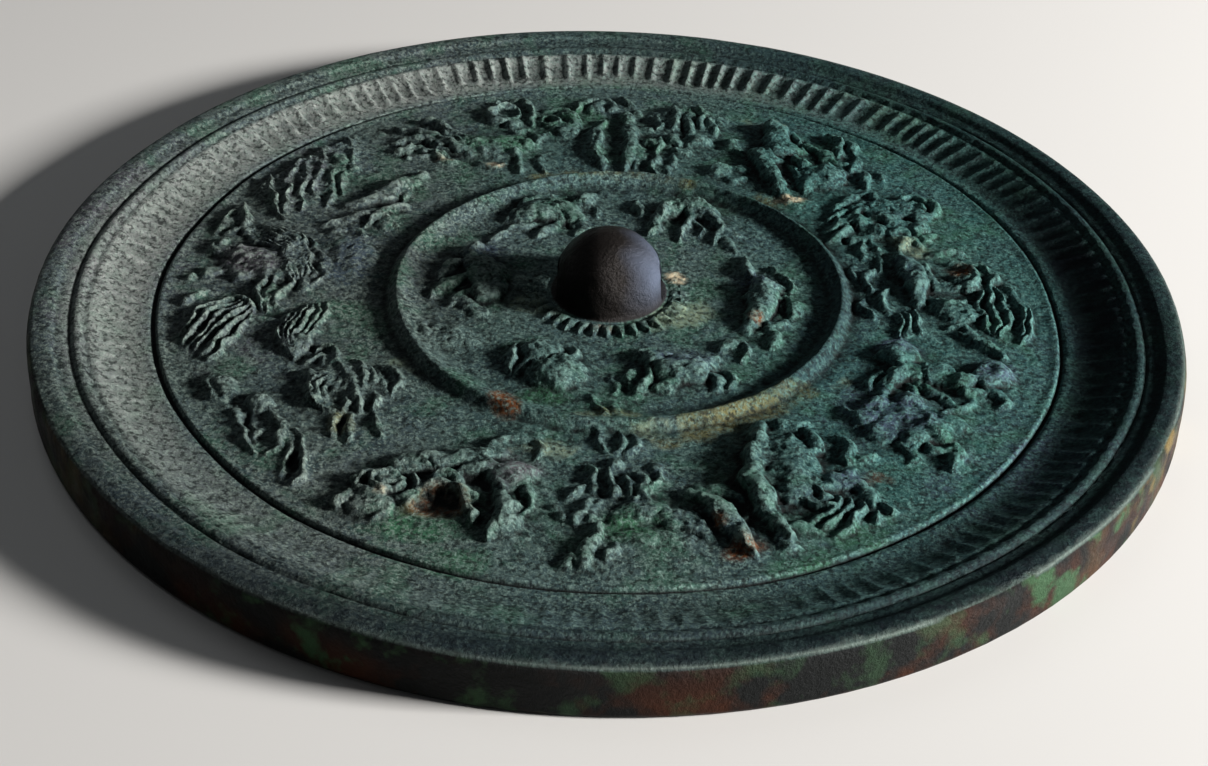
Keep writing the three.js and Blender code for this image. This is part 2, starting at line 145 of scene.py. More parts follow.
def flute_heights(radius, angle):
    """Narrow ribs across the hollow of the rim: a bell across each rib, fading at both its ends. They
    are fullest on the far side and worn faint on the near side."""
    lean = 0.035 * (radius - 94) * (0.6 + 0.6 * np.sin(2 * angle + 0.8))
    drift = 0.22 * np.sin(9 * angle) + 0.16 * np.sin(23 * angle + 1)
    phase = FLUTES * angle / (2 * math.pi) + lean + drift
    across = phase - np.round(phase)
    rib = np.exp(-(across / 0.17) ** 2) - 0.3
    rise = 1 / (1 + np.exp(-(radius - 91.8 - 0.7 * np.sin(17 * angle)) / 0.5))
    fall = 1 / (1 + np.exp((radius - 98.5) / 0.22))
    strength = 0.3 + 0.7 * np.exp(-((np.degrees(angle) - 95) / 80) ** 2)
    strength = strength * (0.85 + 0.15 * np.sin(11 * angle))
    return FLUTE_RISE * strength * rib * rise * fall


def bump(angle, middle, width):
    """A bell round the disc: one at the azimuth middle, in degrees, and falling off over width."""
    away = (np.degrees(angle) - middle + 180) % 360 - 180
    return np.exp(-(away / width) ** 2)


def ridge_crest(angle):
    """Radius of the ridge's crest, which stands a little to the right of the middle."""
    return RIDGE_R + 2.1 * np.cos(angle) + 0.4 * np.sin(2 * angle - 0.4) + 0.2 * np.sin(5 * angle)


def ridge_heights(radius, angle):
    """The ridge between the fields: half a wave down its steep outside, a hollow curve down its gentler
    inside, which is narrowest on the left, and lower on the near side."""
    crest = ridge_crest(angle)
    outside = np.clip((radius - crest) / 2.9, 0, 1)
    inside = np.clip((crest - radius) / (4.4 - 1.7 * np.cos(angle)), 0, 1)
    outer = 0.5 + 0.5 * np.cos(math.pi * outside)
    inner = (1 - inside) ** 1.7
    low = 1 - 0.3 * bump(angle, -100, 45)
    return RIDGE_RISE * low * np.where(radius > crest, outer, inner)


def tooth_heights(radius, angle):
    """A ring of pointed teeth round the knob, worn off where the crust lies."""
    phase = TEETH * angle / (2 * math.pi)
    across = np.abs(phase - np.round(phase)) * 2
    reach = TEETH_FOOT_R + 3.7 * (1 - across)
    tooth = np.clip((reach - radius) / 0.7, 0, 1) * np.clip((radius - 11.8) / 1.2, 0, 1)
    gap = np.clip(across * 1.6 - 0.9, 0, 1) * np.clip((radius - TEETH_FOOT_R) / 0.8, 0, 1)
    kept = 0.28 + 0.72 * np.clip(0.75 + np.cos(angle + 1.75), 0, 1)
    return TOOTH_RISE * tooth * (1 - 0.85 * gap) * kept


# ---------------------------------------------------------------- raised forms and cuts

X, Y = map_axes()
raised = np.zeros((MAP_CELLS, MAP_CELLS))   # height of the raised forms above the ground
cut = np.zeros((MAP_CELLS, MAP_CELLS))      # depth of the lines and hollows cut into them


def place(x, y, height):
    """Millimetres of a form whose crest is placed in hundredths, as seen against the ground behind it
    from the near side. Its foot stands nearer by LEAN hundredths for each millimetre of its height."""
    return x * UNIT, (y - LEAN * height) * UNIT


def window(x, y, reach):
    """The block of map cells within reach of some points."""
    low_c, high_c = ((v + MAP_HALF) / CELL for v in (np.min(x) - reach, np.max(x) + reach))
    low_r, high_r = ((v + MAP_HALF) / CELL for v in (np.min(y) - reach, np.max(y) + reach))
    return (slice(max(int(low_r), 0), int(high_r) + 2), slice(max(int(low_c), 0), int(high_c) + 2))


def curve_through(points):
    """A smooth curve through points: a Catmull-Rom spline, eight steps to each span."""
    p = np.array(points, float).reshape(-1, 2)
    ends = [2 * p[0] - p[1]], [2 * p[-1] - p[-2]]
    p = np.vstack([ends[0], p, ends[1]])
    t = np.linspace(0, 1, 8, endpoint=False)[:, None]
    spans = [
        0.5 * (2 * b + (c - a) * t + (2 * a - 5 * b + 4 * c - d) * t ** 2 + (3 * b - a - 3 * c + d) * t ** 3)
        for a, b, c, d in zip(p[:-3], p[1:-2], p[2:-1], p[3:])
    ]
    return np.vstack(spans + [p[-2:-1]])


def along_curve(points, reach):
    """For the cells near a curve: the distance to it, and how far along it the nearest point is."""
    block = window(points[:, 0], points[:, 1], reach)
    x, y = X[block], Y[block]
    best = np.full(x.shape, 1e9)
    share = np.zeros(x.shape)
    steps = np.hypot(*np.diff(points, axis=0).T)
    run = np.concatenate([[0], np.cumsum(steps)])
    for a, b, done, step in zip(points[:-1], points[1:], run, steps):
        d = b - a
        t = np.clip(((x - a[0]) * d[0] + (y - a[1]) * d[1]) / (step ** 2 + 1e-9), 0, 1)
        away = np.hypot(x - a[0] - t * d[0], y - a[1] - t * d[1])
        nearer = away < best
        best = np.where(nearer, away, best)
        share = np.where(nearer, (done + t * step) / run[-1], share)
    return block, best, share


def course(path, width, height):
    """The cells along the curve through a path in hundredths, for a form of some width and height."""
    points = curve_through(path)
    points = np.stack(place(points[:, 0], points[:, 1], height), axis=1)
    return along_curve(points, width * UNIT)


def section(share, start, end):
    """How full a stroke is along its run: one in the middle, start and end at its ends."""
    opening = start + (1 - start) * np.sqrt(np.clip(share / 0.35, 0, 1))
    closing = end + (1 - end) * np.sqrt(np.clip((1 - share) / 0.35, 0, 1))
    return opening * closing


def stroke(path, width, height, start=0.25, end=0.25, full=0.6):
    """A raised stroke along a curve through the path's points, rounded across and slim at its ends.
    A lower value of full gives steeper sides."""
    block, away, share = course(path, width, height)
    body = section(share, start, end)
    across = np.clip(1 - (away / (0.5 * width * UNIT * body)) ** 2, 0, 1)
    raised[block] = np.maximum(raised[block], height * body ** 0.5 * across ** full)


def line(path, width, depth, height=1.8, start=0.2, end=0.2):
    """A cut line, as between feathers: the same curve, with a V across it."""
    block, away, share = course(path, width, height)
    body = section(share, start, end)
    across = np.clip(1 - away / (0.5 * width * UNIT * body), 0, 1)
    cut[block] = np.maximum(cut[block], depth * across)


def oval(x, y, length, width, turn, height):
    """Cells of an oval and the squared share of the way to its edge."""
    x, y = place(x, y, height)
    block = window(x, y, 0.6 * max(length, width) * UNIT)
    dx, dy = X[block] - x, Y[block] - y
    cos, sin = math.cos(math.radians(turn)), math.sin(math.radians(turn))
    u = (dx * cos + dy * sin) / (0.5 * length * UNIT)
    v = (dy * cos - dx * sin) / (0.5 * width * UNIT)
    return block, u ** 2 + v ** 2


def blob(x, y, length, width, turn, height, full=0.6):
    """A raised dome with an oval foot."""
    block, out = oval(x, y, length, width, turn, height)
    raised[block] = np.maximum(raised[block], height * np.clip(1 - out, 0, 1) ** full)


def dish(x, y, length, width, turn, depth, height=1.5):
    """A hollow with an oval mouth."""
    block, out = oval(x, y, length, width, turn, height)
    cut[block] = np.maximum(cut[block], depth * np.clip(1 - out, 0, 1) ** 0.7)


def between(first, last, share):
    """The path a share of the way from the first to the last."""
    return [a + (b - a) * share for a, b in zip(first, last)]


def fan(count, first, last, width, height, **more):
    """Strokes spread evenly between a first and a last path."""
    for i in range(count):
        stroke(between(first, last, i / (count - 1)), width, height, **more)


def curl(x, y, radius, width, height, turns=0.85, begin=20):
    """A scroll: a stroke that winds inwards."""
    path = []
    for i in range(9):
        angle = math.radians(begin + 360 * turns * i / 8)
        size = radius * (1 - 0.35 * i / 8)
        path += [x + size * math.cos(angle), y + size * math.sin(angle)]
    stroke(path, width, height, start=0.5, end=0.5)


# ---------------------------------------------------------------- the inner field's beasts

def far_left_beast():
    """Head up beside the ridge, legs to the left and near, tail over its back."""
    stroke((-18, 25, -14, 29.5, -9, 29, -5, 26), 6.4, 2.3, full=0.5)
    blob(-12.5, 28.3, 6, 4.6, -15, 2.6)
    blob(-5.2, 33.5, 6.2, 3.8, 62, 2.3, full=0.5)
    stroke((-18, 29.5, -14.5, 33, -9, 33.5), 2.6, 1.7)
    stroke((-15, 27, -18.5, 26.2, -20, 23.8), 2.2, 1.5)
    stroke((-14.5, 24, -19, 21, -22.5, 17.5), 2.6, 1.7)
    stroke((-10, 25, -11.5, 22, -14.5, 19), 2.4, 1.4)
    stroke((-6, 25, -5, 22, -7, 20), 2.4, 1.3)
    line((-11, 30.5, -8.5, 27, -8, 23), 1.0, 0.7, 2.2)
    line((-7.5, 31, -5.5, 28, -4.5, 25), 0.9, 0.6, 2.0)
    stroke((-3, 30.5, -2, 28.5, -2.4, 25.5), 1.4, 1.0)
    blob(-1.5, 35.3, 3.2, 1.6, 15, 0.9)


def far_right_beast():
    """An arched back over two hollows, slim legs between them, tail towards the ridge."""
    stroke((8, 25.5, 9.5, 29.5, 14, 32.6, 18.5, 30.5, 20.5, 25.5), 4.6, 2.7, full=0.45)
    blob(16.5, 30.5, 6, 4.4, -20, 2.7)
    stroke((15.8, 30.5, 15.4, 27, 13.4, 23.5, 12.4, 20), 1.5, 1.7)
    stroke((15.4, 27, 16.6, 24, 17, 21), 1.1, 1.4)
    stroke((20.2, 28, 21.2, 24, 19.4, 19.5), 2.0, 1.7)
    stroke((9, 27.5, 8.6, 24, 7.6, 21.5), 2.2, 1.7)
    stroke((22, 24, 22.6, 21.5, 24.8, 21.8), 1.6, 1.3)
    stroke((6.2, 28.5, 4.9, 31.5, 5.0, 34.5), 1.9, 1.9, full=0.5)
    stroke((21.5, 21, 22.5, 18, 23, 15), 1.7, 1.3)
    line((13, 31.5, 14.5, 33.8, 17.5, 33), 0.8, 0.5, 2.6)


def right_beast():
    """Upright along the ridge, its back to it, with a deep hollow before its breast."""
    stroke((26.5, 7.5, 27.6, 2, 27, -3, 25, -8), 5.8, 2.7, full=0.42)
    blob(28, 4.5, 6.4, 6.2, 80, 3.0)
    stroke((25.5, 15, 25.1, 11, 26.4, 7), 2.2, 2.3, full=0.45)
    stroke((28.5, 10.5, 31.5, 9, 33, 5.5, 33.4, 1), 1.6, 1.5)
    stroke((31.5, 1.5, 33.5, -2.5, 32.5, -6), 2.2, 1.6)
    stroke((27, -7, 30, -9, 31.5, -6), 2.0, 1.5)
    stroke((27.5, -9, 29, -11.5, 28.6, -15), 2.0, 1.8)
    stroke((25, -7, 23.8, -9.5, 25.4, -11), 1.8, 1.4)
    blob(31.5, 8.6, 3.4, 2.4, -30, 1.6)
    line((24.6, 3, 27.5, 0.5, 30.5, 0), 0.9, 0.6, 2.4)
    line((29.5, 3, 30.5, -2, 29, -6), 0.9, 0.5, 2.2)


def near_right_beast_inside():
    """Head to the left, a smooth swollen back, tail hooked over."""
    blob(13, -21.8, 9.4, 7.4, 8, 2.9, full=0.45)
    blob(8, -20, 5, 4.6, 0, 2.4, full=0.5)
    stroke((4.5, -19.5, 7.5, -17.6, 11.5, -18), 2.4, 2.0)
    stroke((7, -22, 7.2, -25.5, 4.6, -30.5), 2.4, 2.0, full=0.5)
    stroke((4.8, -23.5, 3.6, -26, 3.8, -28.5), 1.8, 1.4)
    stroke((11.5, -25, 10.4, -28, 7.6, -29.5), 2.2, 1.6)
    stroke((17, -22, 18.6, -19.5, 19.4, -18.2), 3.0, 2.2)
    stroke((17.5, -24, 19, -25.5, 18.4, -28.5), 2.0, 1.5)
    stroke((20, -22.5, 21.4, -24.5, 20.8, -27.5), 1.6, 1.4)
    stroke((18.6, -16.4, 20.5, -14.6, 23.4, -14.7, 24.3, -16.8, 23, -18.6), 1.9, 1.9, full=0.5)
    line((9.5, -24.5, 13.5, -25.5, 17, -22.5), 0.8, 0.5, 2.4)
    stroke((1, -25, 1.8, -28.5, 0.8, -31.5), 1.3, 0.8)


def near_left_beast_inside():
    """Crouched, with a round rump."""
    blob(-8.2, -24, 10.6, 9, 12, 2.7, full=0.45)
    blob(-11, -18.2, 8, 7.2, 65, 2.4, full=0.5)
    stroke((-14.8, -16, -16.4, -20, -16.4, -24.5), 2.0, 2.1, full=0.45)
    stroke((-6, -17, -5.6, -19.5, -6.4, -22), 1.9, 1.7)
    stroke((-14.5, -19, -13.6, -22.5, -15.6, -26), 1.7, 1.3)
    line((-12.5, -21, -10.5, -21.5, -8, -20), 1.0, 0.7, 2.5)
    line((-12.6, -22, -12, -26, -9.5, -28), 0.9, 0.5, 2.4)
    dish(-8, -22.6, 3.6, 2.6, 20, 0.5, 2.6)


def left_beast():
    """Heavy, head up at the far end, its legs to the ridge."""
    stroke((-25.5, 12, -23, 7.5, -21.5, 2, -23, -2.5), 7.4, 2.7, full=0.42)
    blob(-25.5, 13.5, 6.4, 4.8, 20, 2.6, full=0.5)
    blob(-20.5, 5.5, 6.6, 8, 0, 2.2)
    stroke((-26, 9.5, -29, 8, -30.5, 4.5), 2.8, 2.0, full=0.5)
    stroke((-25, 4.5, -28.5, 2.5, -30.5, -1.5), 2.8, 1.9, full=0.5)
    stroke((-29.5, 1.5, -31, -1, -32, -4), 1.8, 1.3)
    stroke((-24, 0, -26.5, -3, -28.5, -4.5), 2.4, 1.5)
    stroke((-27, -2.5, -24.5, -6, -21, -9), 2.3, 1.4)
    line((-24.5, 6.5, -22, 5, -20.5, 1.5), 0.9, 0.6, 2.4)
    line((-21, 9, -19.5, 6.5, -19, 3), 0.8, 0.5, 2.2)
    dish(-23.8, 9.8, 3.4, 2.2, -40, 0.6, 2.4)


def worn_beast():
    """A seventh, worn almost away."""
    blob(-27.5, -15, 9, 7.6, 50, 1.1)
    stroke((-31.5, -12, -31.8, -15, -30.6, -17.5), 1.8, 1.1)
    blob(-26, -13.5, 3.4, 2.6, 0, 1.4)
    stroke((-25.5, -17, -23.5, -16.5, -22.5, -19), 1.8, 0.9)


def inner_stem():
    """The stem of the near spray, which runs in over the ridge."""
    stroke((-2.2, -31, -0.8, -34, -0.3, -38), 1.6, 0.9)
    stroke((1.2, -33, 1.8, -36, 3.2, -39), 1.6, 0.8)


# ---------------------------------------------------------------- the band, clockwise from the far side

def far_stem():
    """Two tall leaves side by side, with a small flower on top."""
    stroke((-1.6, 67.5, -3.6, 62, -3.6, 54, -1.8, 46), 3.4, 2.1, start=0.1, full=0.45)
    stroke((-4.8, 60, -5.4, 54, -4.2, 48), 1.8, 1.3)
    stroke((1.8, 70.5, 3.2, 64, 3.4, 55, 2.4, 46), 3.8, 2.0, start=0.15, full=0.45)
    stroke((5.2, 56, 5.6, 51, 4.6, 46.5), 1.7, 1.2)
    line((-3.4, 62, -3.8, 55, -2.8, 49), 0.9, 0.5, 2.0)
    line((2.7, 66, 3.3, 58, 2.9, 50), 0.7, 0.4, 2.0)
    stroke((-8.4, 70, -6.6, 74.6, -3.6, 75.6), 2.2, 1.7)
    stroke((-5.4, 69.5, -4.4, 72, -2, 73.6), 2.2, 1.5)
    stroke((-2.4, 75.5, -0.4, 73.5, -0.6, 70.8), 2.4, 1.9)
    stroke((0.8, 76.6, 2.8, 75.6, 3.8, 72.6), 2.6, 1.6)
    blob(-3.2, 70.8, 2.8, 2.4, 0, 1.6)
    blob(4.4, 70, 2.2, 3, 0, 1.4)


def far_blossoms():
    """A sheaf of upright petals over two stems."""
    blob(14, 65.5, 20, 16, 85, 0.9)
    stroke((9.3, 68.5, 9.6, 65, 9.0, 62.6), 2.0, 2.0, full=0.45)
    stroke((12.2, 73.4, 12.8, 69.5, 12.2, 66, 12.9, 62.5), 2.7, 2.4, full=0.45)
    stroke((12.6, 62, 12.2, 59, 13, 56), 2.6, 2.1, full=0.5)
    stroke((15.4, 71.6, 15.0, 67.5, 15.8, 63, 14.8, 59.5), 2.2, 2.2, full=0.45)
    stroke((18.2, 74.6, 18.6, 71, 17.6, 67.5, 18.8, 63.5), 2.6, 2.3, full=0.45)
    stroke((20.6, 69, 20.2, 65, 20.9, 61.5), 2.2, 1.9, full=0.5)
    blob(22.2, 67.6, 3.2, 4.8, 0, 1.6)
    blob(17.4, 59, 5.2, 4.2, 10, 2.2)
    blob(6.6, 61.8, 4.2, 3.4, 0, 1.9)
    blob(7.8, 57.2, 3, 3.2, 0, 1.7)
    blob(13.6, 54, 3.8, 3.6, 0, 1.9)
    stroke((9.6, 60, 9.4, 56.5, 8.6, 53), 1.8, 1.8, full=0.5)
    stroke((8.6, 53.5, 8.2, 49, 8.4, 44.5), 2.0, 1.7, full=0.45)
    stroke((11.8, 52, 11.8, 48.5, 10.4, 45), 1.9, 1.5)
    stroke((15.4, 57, 15, 54.5, 13.4, 52.6), 1.6, 1.4)
    line((17, 73, 16.6, 68, 17.2, 64), 0.8, 0.8, 2.2)
    line((13.9, 70, 13.7, 65, 14.3, 60), 0.8, 0.8, 2.2)


def far_beast():
    """A beast that leaps to the left, one leg stretched down to the ridge."""
    stroke((33, 68.5, 33.6, 64, 35.2, 60), 4.6, 2.9, full=0.42)
    blob(33.5, 60.8, 6.6, 6, 40, 2.6, full=0.5)
    stroke((30, 54.5, 34.5, 56.5, 38.5, 55.5), 6.0, 2.2, full=0.5)
    stroke((27.2, 56.2, 29.6, 52.4, 31.2, 47.5, 32.6, 42.5, 34.6, 38), 3.8, 2.6, full=0.42)
    blob(31.4, 52, 5.4, 5.6, 0, 2.4)
    stroke((24.4, 61, 24.2, 58, 25.4, 55), 2.4, 2.0, full=0.5)
    stroke((36, 53, 38.6, 49.5, 39.2, 44.5, 37.6, 40), 4.0, 2.2, full=0.45)
    stroke((35.2, 49, 36.8, 45.5, 36.6, 41.5), 2.0, 1.5)
    blob(42.6, 46.5, 8, 9.6, 20, 2.3, full=0.5)
    stroke((37.5, 60, 40.6, 57, 44, 52.5, 47.6, 50.4), 3.0, 1.9)
    stroke((44.4, 63.6, 46.0, 59, 45.4, 54.6), 2.8, 2.3, full=0.45)
    stroke((47.6, 60.4, 49.2, 58.2, 48.8, 54.4), 2.2, 1.7)
    stroke((49, 55, 48.8, 51, 47.2, 48), 1.8, 1.6)
    stroke((49.6, 48.6, 50.6, 45.6, 49.6, 42), 2.4, 2.0, full=0.5)
    stroke((51.8, 48.5, 53.4, 46.5, 54.4, 43.5), 2.0, 1.0)
    blob(36.6, 34.6, 7, 3.4, -5, 1.2)
    blob(21.2, 47.2, 6, 5, 10, 1.9, full=0.5)
    stroke((22.4, 44, 24.4, 42.6, 27, 44), 2.2, 1.2)
    blob(25.6, 47.4, 3.6, 3.2, 0, 1.3)
    line((31, 57.4, 32.4, 54.4, 36.4, 54), 0.9, 0.7, 2.4)
    line((38.8, 57.5, 41.4, 53, 40.8, 48), 0.9, 0.6, 2.0)
    line((39.6, 62, 38, 58.6, 37.6, 55), 0.8, 0.5, 1.8)
    stroke((35.6, 64.5, 37.4, 62, 38.4, 59.4), 1.8, 1.4)


def right_peony():
    """A round flower in a net of fine veins, with slanted leaves to its left."""
    blob(54, 30.5, 15, 14, 0, 1.2)
    blob(53.6, 30, 6.6, 6.2, 0, 1.9)
    for angle in range(0, 360, 45):
        a = math.radians(angle + 12)
        blob(53.6 + 6.0 * math.cos(a), 30 + 5.6 * math.sin(a), 5.0, 4.2, angle + 100, 1.8)
    stroke((55.6, 36, 58.4, 38.4, 61.8, 36.8, 62.6, 33.4, 60.6, 30.6), 1.9, 1.8, full=0.5)
    stroke((57, 34.6, 59.4, 35.4, 60.6, 33.4), 1.6, 1.6)
    stroke((50.6, 33.4, 51.8, 36.8, 50.4, 40), 2.2, 1.7)
    stroke((57.4, 25.4, 59, 23, 61.4, 25), 1.7, 1.5)
    stroke((52.6, 24.6, 54.6, 21.4, 57.6, 22.6), 1.7, 1.5)
    fan(4, (50.4, 40, 46, 36.6, 42, 31.6), (48.6, 28.6, 44.6, 25, 40.4, 20.8), 1.9, 1.6, full=0.5)
    stroke((43.4, 30, 45.4, 27.4, 47.6, 29.4), 1.6, 1.5)
    stroke((43.6, 22.6, 46.4, 21.4, 49.6, 23.6), 1.7, 1.5)
    stroke((47, 20.6, 47.4, 17, 46.4, 13.6), 1.5, 1.2)
    stroke((50, 23, 49.4, 19.4, 50.4, 16.4), 1.4, 1.2)
    for x, y in ((48.6, 30.4), (45.2, 32.6), (46.6, 26.6), (57, 29), (51, 27), (44, 22)):
        dish(x, y, 2.6, 2.2, 40, 1.0, 1.6)


def right_phoenix():
    """A smooth long neck, a scrolled crest, a spread tail, and legs towards the rim."""
    stroke((53.6, 18.6, 55.2, 13, 55.6, 7, 56, 1), 4.4, 2.9, full=0.4)
    stroke((58.6, 14.6, 58.2, 10, 59.4, 5), 2.0, 2.0, full=0.5)
    stroke((54, 19, 56, 22, 59, 20.4), 2.2, 1.8)
    curl(63.4, 10.6, 5.6, 2.0, 2.0, begin=150)
    stroke((59.6, 16.8, 63, 18.6, 66.6, 17.4), 1.8, 1.5)
    blob(64.8, 9.4, 4.6, 4.2, 0, 2.0)
    blob(60.8, 6.2, 4.4, 3.6, 30, 1.7)
    stroke((66.4, 15, 69.6, 13, 70.4, 8.6, 68.8, 5), 1.8, 1.7)
    fan(3, (67.4, 6, 66.6, -1, 67.6, -8), (70.8, 7, 71.2, 0, 69.2, -10), 1.3, 1.9, full=0.5)
    fan(2, (72.2, 8, 74.4, 1, 72.6, -8.6), (73.6, 5, 75.6, -2, 72.8, -11.6), 1.3, 1.6, full=0.5)
    blob(62, -1.5, 9.6, 7.6, -10, 1.8)
    stroke((58, 2, 61, 0.4, 64.6, 2.4), 1.6, 2.1)
    stroke((59, -3, 62, -2, 65.2, -4.4), 1.6, 2.1)
    stroke((60, -6.4, 62.6, -6.4, 65, -8.6), 1.5, 1.8)
    stroke((61.4, -8, 64.8, -11, 68.4, -15), 2.4, 1.8, full=0.5)
    fan(3, (51.6, -2, 51.6, -6, 51.2, -10.5), (55.4, -1.6, 55, -5.6, 54.8, -10), 1.1, 1.5)
    stroke((48.6, 11.6, 46.8, 8, 47.6, 3.6), 1.9, 1.7, full=0.5)
    stroke((50.4, 5.4, 49.4, 1.6, 50, -3.4), 1.9, 1.7, full=0.5)
    stroke((46.6, 1.6, 45.8, -2, 47.4, -5.6), 1.8, 1.6, full=0.5)
    stroke((44.8, 12.8, 44.4, 9.6, 45.4, 6.6), 1.5, 1.3)
    stroke((49.6, 16.6, 50.6, 13.6, 49.8, 10.6), 1.6, 1.3)
    dish(64.8, 10, 2.4, 2, 0, 0.7, 2)


def near_right_beast():
    """A beast with a smooth round head, its body stretched towards the rim."""
    blob(50.4, -15, 6.8, 6.6, 30, 2.8, full=0.42)
    stroke((48.8, -17.6, 49.8, -20.8, 47.6, -24.6, 46.2, -28.4), 2.8, 2.4, full=0.45)
    stroke((46.6, -20.6, 45.6, -23.4, 44.2, -26.6), 1.7, 1.7)
    stroke((47, -22.4, 49, -21.6, 51, -22), 1.6, 1.9)
    stroke((50.6, -20, 55, -21.4, 59.6, -21), 5.6, 1.9, full=0.5)
    blob(65.8, -20.8, 8.6, 7, 55, 2.6, full=0.45)
    blob(60.4, -23, 6.4, 5, 20, 2.2)
    stroke((62.4, -23, 63.2, -20.2, 65, -18.8), 1.2, 2.4)
    stroke((59, -26.4, 61.6, -27.2, 64.4, -26.8), 2.6, 1.7)
    stroke((64.6, -26, 66.6, -28.4, 65.4, -30.4), 2.2, 1.4)
    stroke((61.8, -28.6, 59.8, -30.6, 56.8, -31.6), 2.2, 1.4)
    stroke((52.6, -24.4, 55.4, -27.6, 58, -31.4), 2.8, 1.5)
    stroke((50.8, -25, 51.6, -27.6, 50.6, -30), 2.0, 1.2)
    line((53, -18, 54.4, -22, 53, -26), 0.9, 0.6, 2.0)


def near_right_flower():
    """A flower of round petals, smooth and full."""
    blob(49.6, -35, 15, 13, 10, 1.4)
    blob(50.4, -34.4, 5.6, 5.2, 0, 2.0)
    stroke((50.6, -32, 53, -33.4, 53.2, -36.6, 50.6, -38.4), 1.4, 2.1, full=0.5)
    for angle, size in ((75, 5.4), (125, 5.2), (175, 5.6), (225, 5.4), (280, 5), (335, 5.4)):
        a = math.radians(angle)
        blob(49 + 6.4 * math.cos(a), -34.6 + 5.2 * math.sin(a), size, 4.2, angle + 90, 2.0, full=0.5)
    blob(57.6, -35.4, 5, 3.8, -30, 1.6)
    stroke((57.6, -31, 56, -33.6, 57.2, -36.6), 1.6, 1.5)
    stroke((52, -41.6, 54, -43.4, 57.4, -42.6), 2.4, 1.7)
    stroke((56.4, -40, 57, -43.6, 55.4, -47.4), 2.4, 1.9, full=0.5)
    stroke((47, -41.2, 49.4, -43.4, 48.6, -46.6), 2.2, 1.3)
    stroke((39.4, -31.6, 41, -34.2, 43.2, -34.8), 2.2, 1.3)


def near_right_bird():
    """Seen from the side: a steep smooth breast, a rough wing, and a tail of curved feathers."""
    stroke((25, -37, 24.6, -43, 23.6, -50, 25.2, -57.5, 28.4, -65), 4.4, 3.1, start=0.5, full=0.38)
    blob(29.6, -48.5, 19, 9.6, 95, 2.2, full=0.5)
    stroke((27, -36.6, 30.6, -37.6, 34, -36.2), 2.6, 1.9)
    stroke((32.4, -38, 34.4, -41.4, 33.4, -45.4), 2.6, 2.1, full=0.45)
    stroke((37.6, -39.6, 39.4, -42.6, 38.8, -46.6), 2.6, 2.1, full=0.45)
    stroke((39.8, -44, 41.4, -46, 44.6, -44.6), 2.0, 1.6)
    stroke((40, -47.6, 37.6, -50.6, 33, -51.8), 2.4, 1.6)
    stroke((30, -39, 29.4, -43, 30.6, -47), 1.8, 2.3)
    for i in range(5):
        stroke((27 + i, -42 - 3.6 * i, 30 + i, -43.4 - 3.4 * i, 32.4 + i, -46.4 - 3 * i), 1.3, 2.3)
    stroke((33, -53.4, 37, -51.6, 41, -53.6, 41.8, -57), 3.2, 2.1, full=0.5)
    fan(3, (36.8, -54.6, 35, -59, 31.8, -62.6), (40.2, -56.4, 38.8, -61, 35.8, -64.4), 1.5, 2.0, full=0.5)
    stroke((43.4, -55.6, 45.4, -59, 44.6, -63, 41.6, -66.4), 1.7, 1.9, full=0.5)
    stroke((42.2, -58.6, 42.6, -61.6, 41, -65), 1.5, 1.8, full=0.5)
    stroke((28.4, -63.4, 30.6, -62.4, 33.4, -64.8), 1.8, 1.3)
    stroke((26.6, -66, 28.6, -68.4, 32.4, -69), 2.2, 1.3)
    stroke((11.4, -54.4, 16.4, -57, 20, -62, 23, -69), 4.0, 2.7, start=0.15, full=0.4)
    stroke((14.4, -54.6, 18.4, -55, 21.4, -58), 2.6, 1.3)


def near_spray():
    """A stem with pairs of small leaves, and two long leaves at its foot."""
    stroke((-0.6, -40.6, -0.4, -44, 0.8, -47), 1.4, 1.2)
    stroke((2.2, -41, 3.2, -44, 2.4, -46.6), 1.6, 1.3)
    stroke((5.2, -41.4, 5.4, -44.6, 3.8, -47), 1.5, 1.3)
    stroke((-2.6, -49.6, -1.6, -53, -1.2, -56.6), 1.5, 1.6, full=0.5)
    stroke((0.8, -50, 1.4, -53, 1, -56), 1.7, 2.1, full=0.45)
    blob(2.0, -48.6, 3.2, 2.4, 30, 1.9)
    blob(1.8, -55.8, 2.2, 3.6, 0, 2.0)
    stroke((3.6, -51.4, 4.4, -54, 4.2, -57.4), 1.4, 1.9, full=0.45)
    stroke((4.4, -50.6, 6, -53.6, 5.4, -57.6), 1.5, 1.7, full=0.5)
    stroke((4, -57.8, 5, -58.6, 6, -57.6), 1.3, 1.5)
    stroke((9.4, -50.4, 8.4, -53, 7, -56, 6.8, -59), 1.9, 1.8, full=0.5)
    blob(8.5, -49.6, 2.4, 2.4, 0, 1.6)
    stroke((-2.4, -54.6, -4, -56.6, -5.6, -57.6), 1.6, 1.5)
    stroke((-1.4, -57.6, -2.8, -61, -4.4, -64.4), 1.6, 1.7, full=0.45)
    stroke((0.2, -58.4, -1.2, -60.8, -1.8, -63.6), 1.4, 1.2)
    blob(-5.6, -63, 2.4, 2.4, 0, 1.3)
    blob(-7, -60.6, 1.8, 2.4, 0, 1.1)
    stroke((-0.6, -63, -0.8, -67, -2.2, -71, -3.4, -74.6), 2.2, 2.2, full=0.42)
    stroke((-3, -73.4, -4.6, -72.4, -5.8, -74.4), 1.7, 1.6)
    stroke((2.6, -67.4, 2.2, -70, 0.8, -72.4), 1.6, 1.6, full=0.5)
    stroke((1.4, -63.4, 6.6, -60.8, 12.4, -62.4, 17.4, -67.4), 5.0, 1.2)
    stroke((2.4, -66.4, 8, -67, 14, -67.4), 3.0, 1.0)
    blob(-13, -42.5, 7, 6, 20, 0.8)


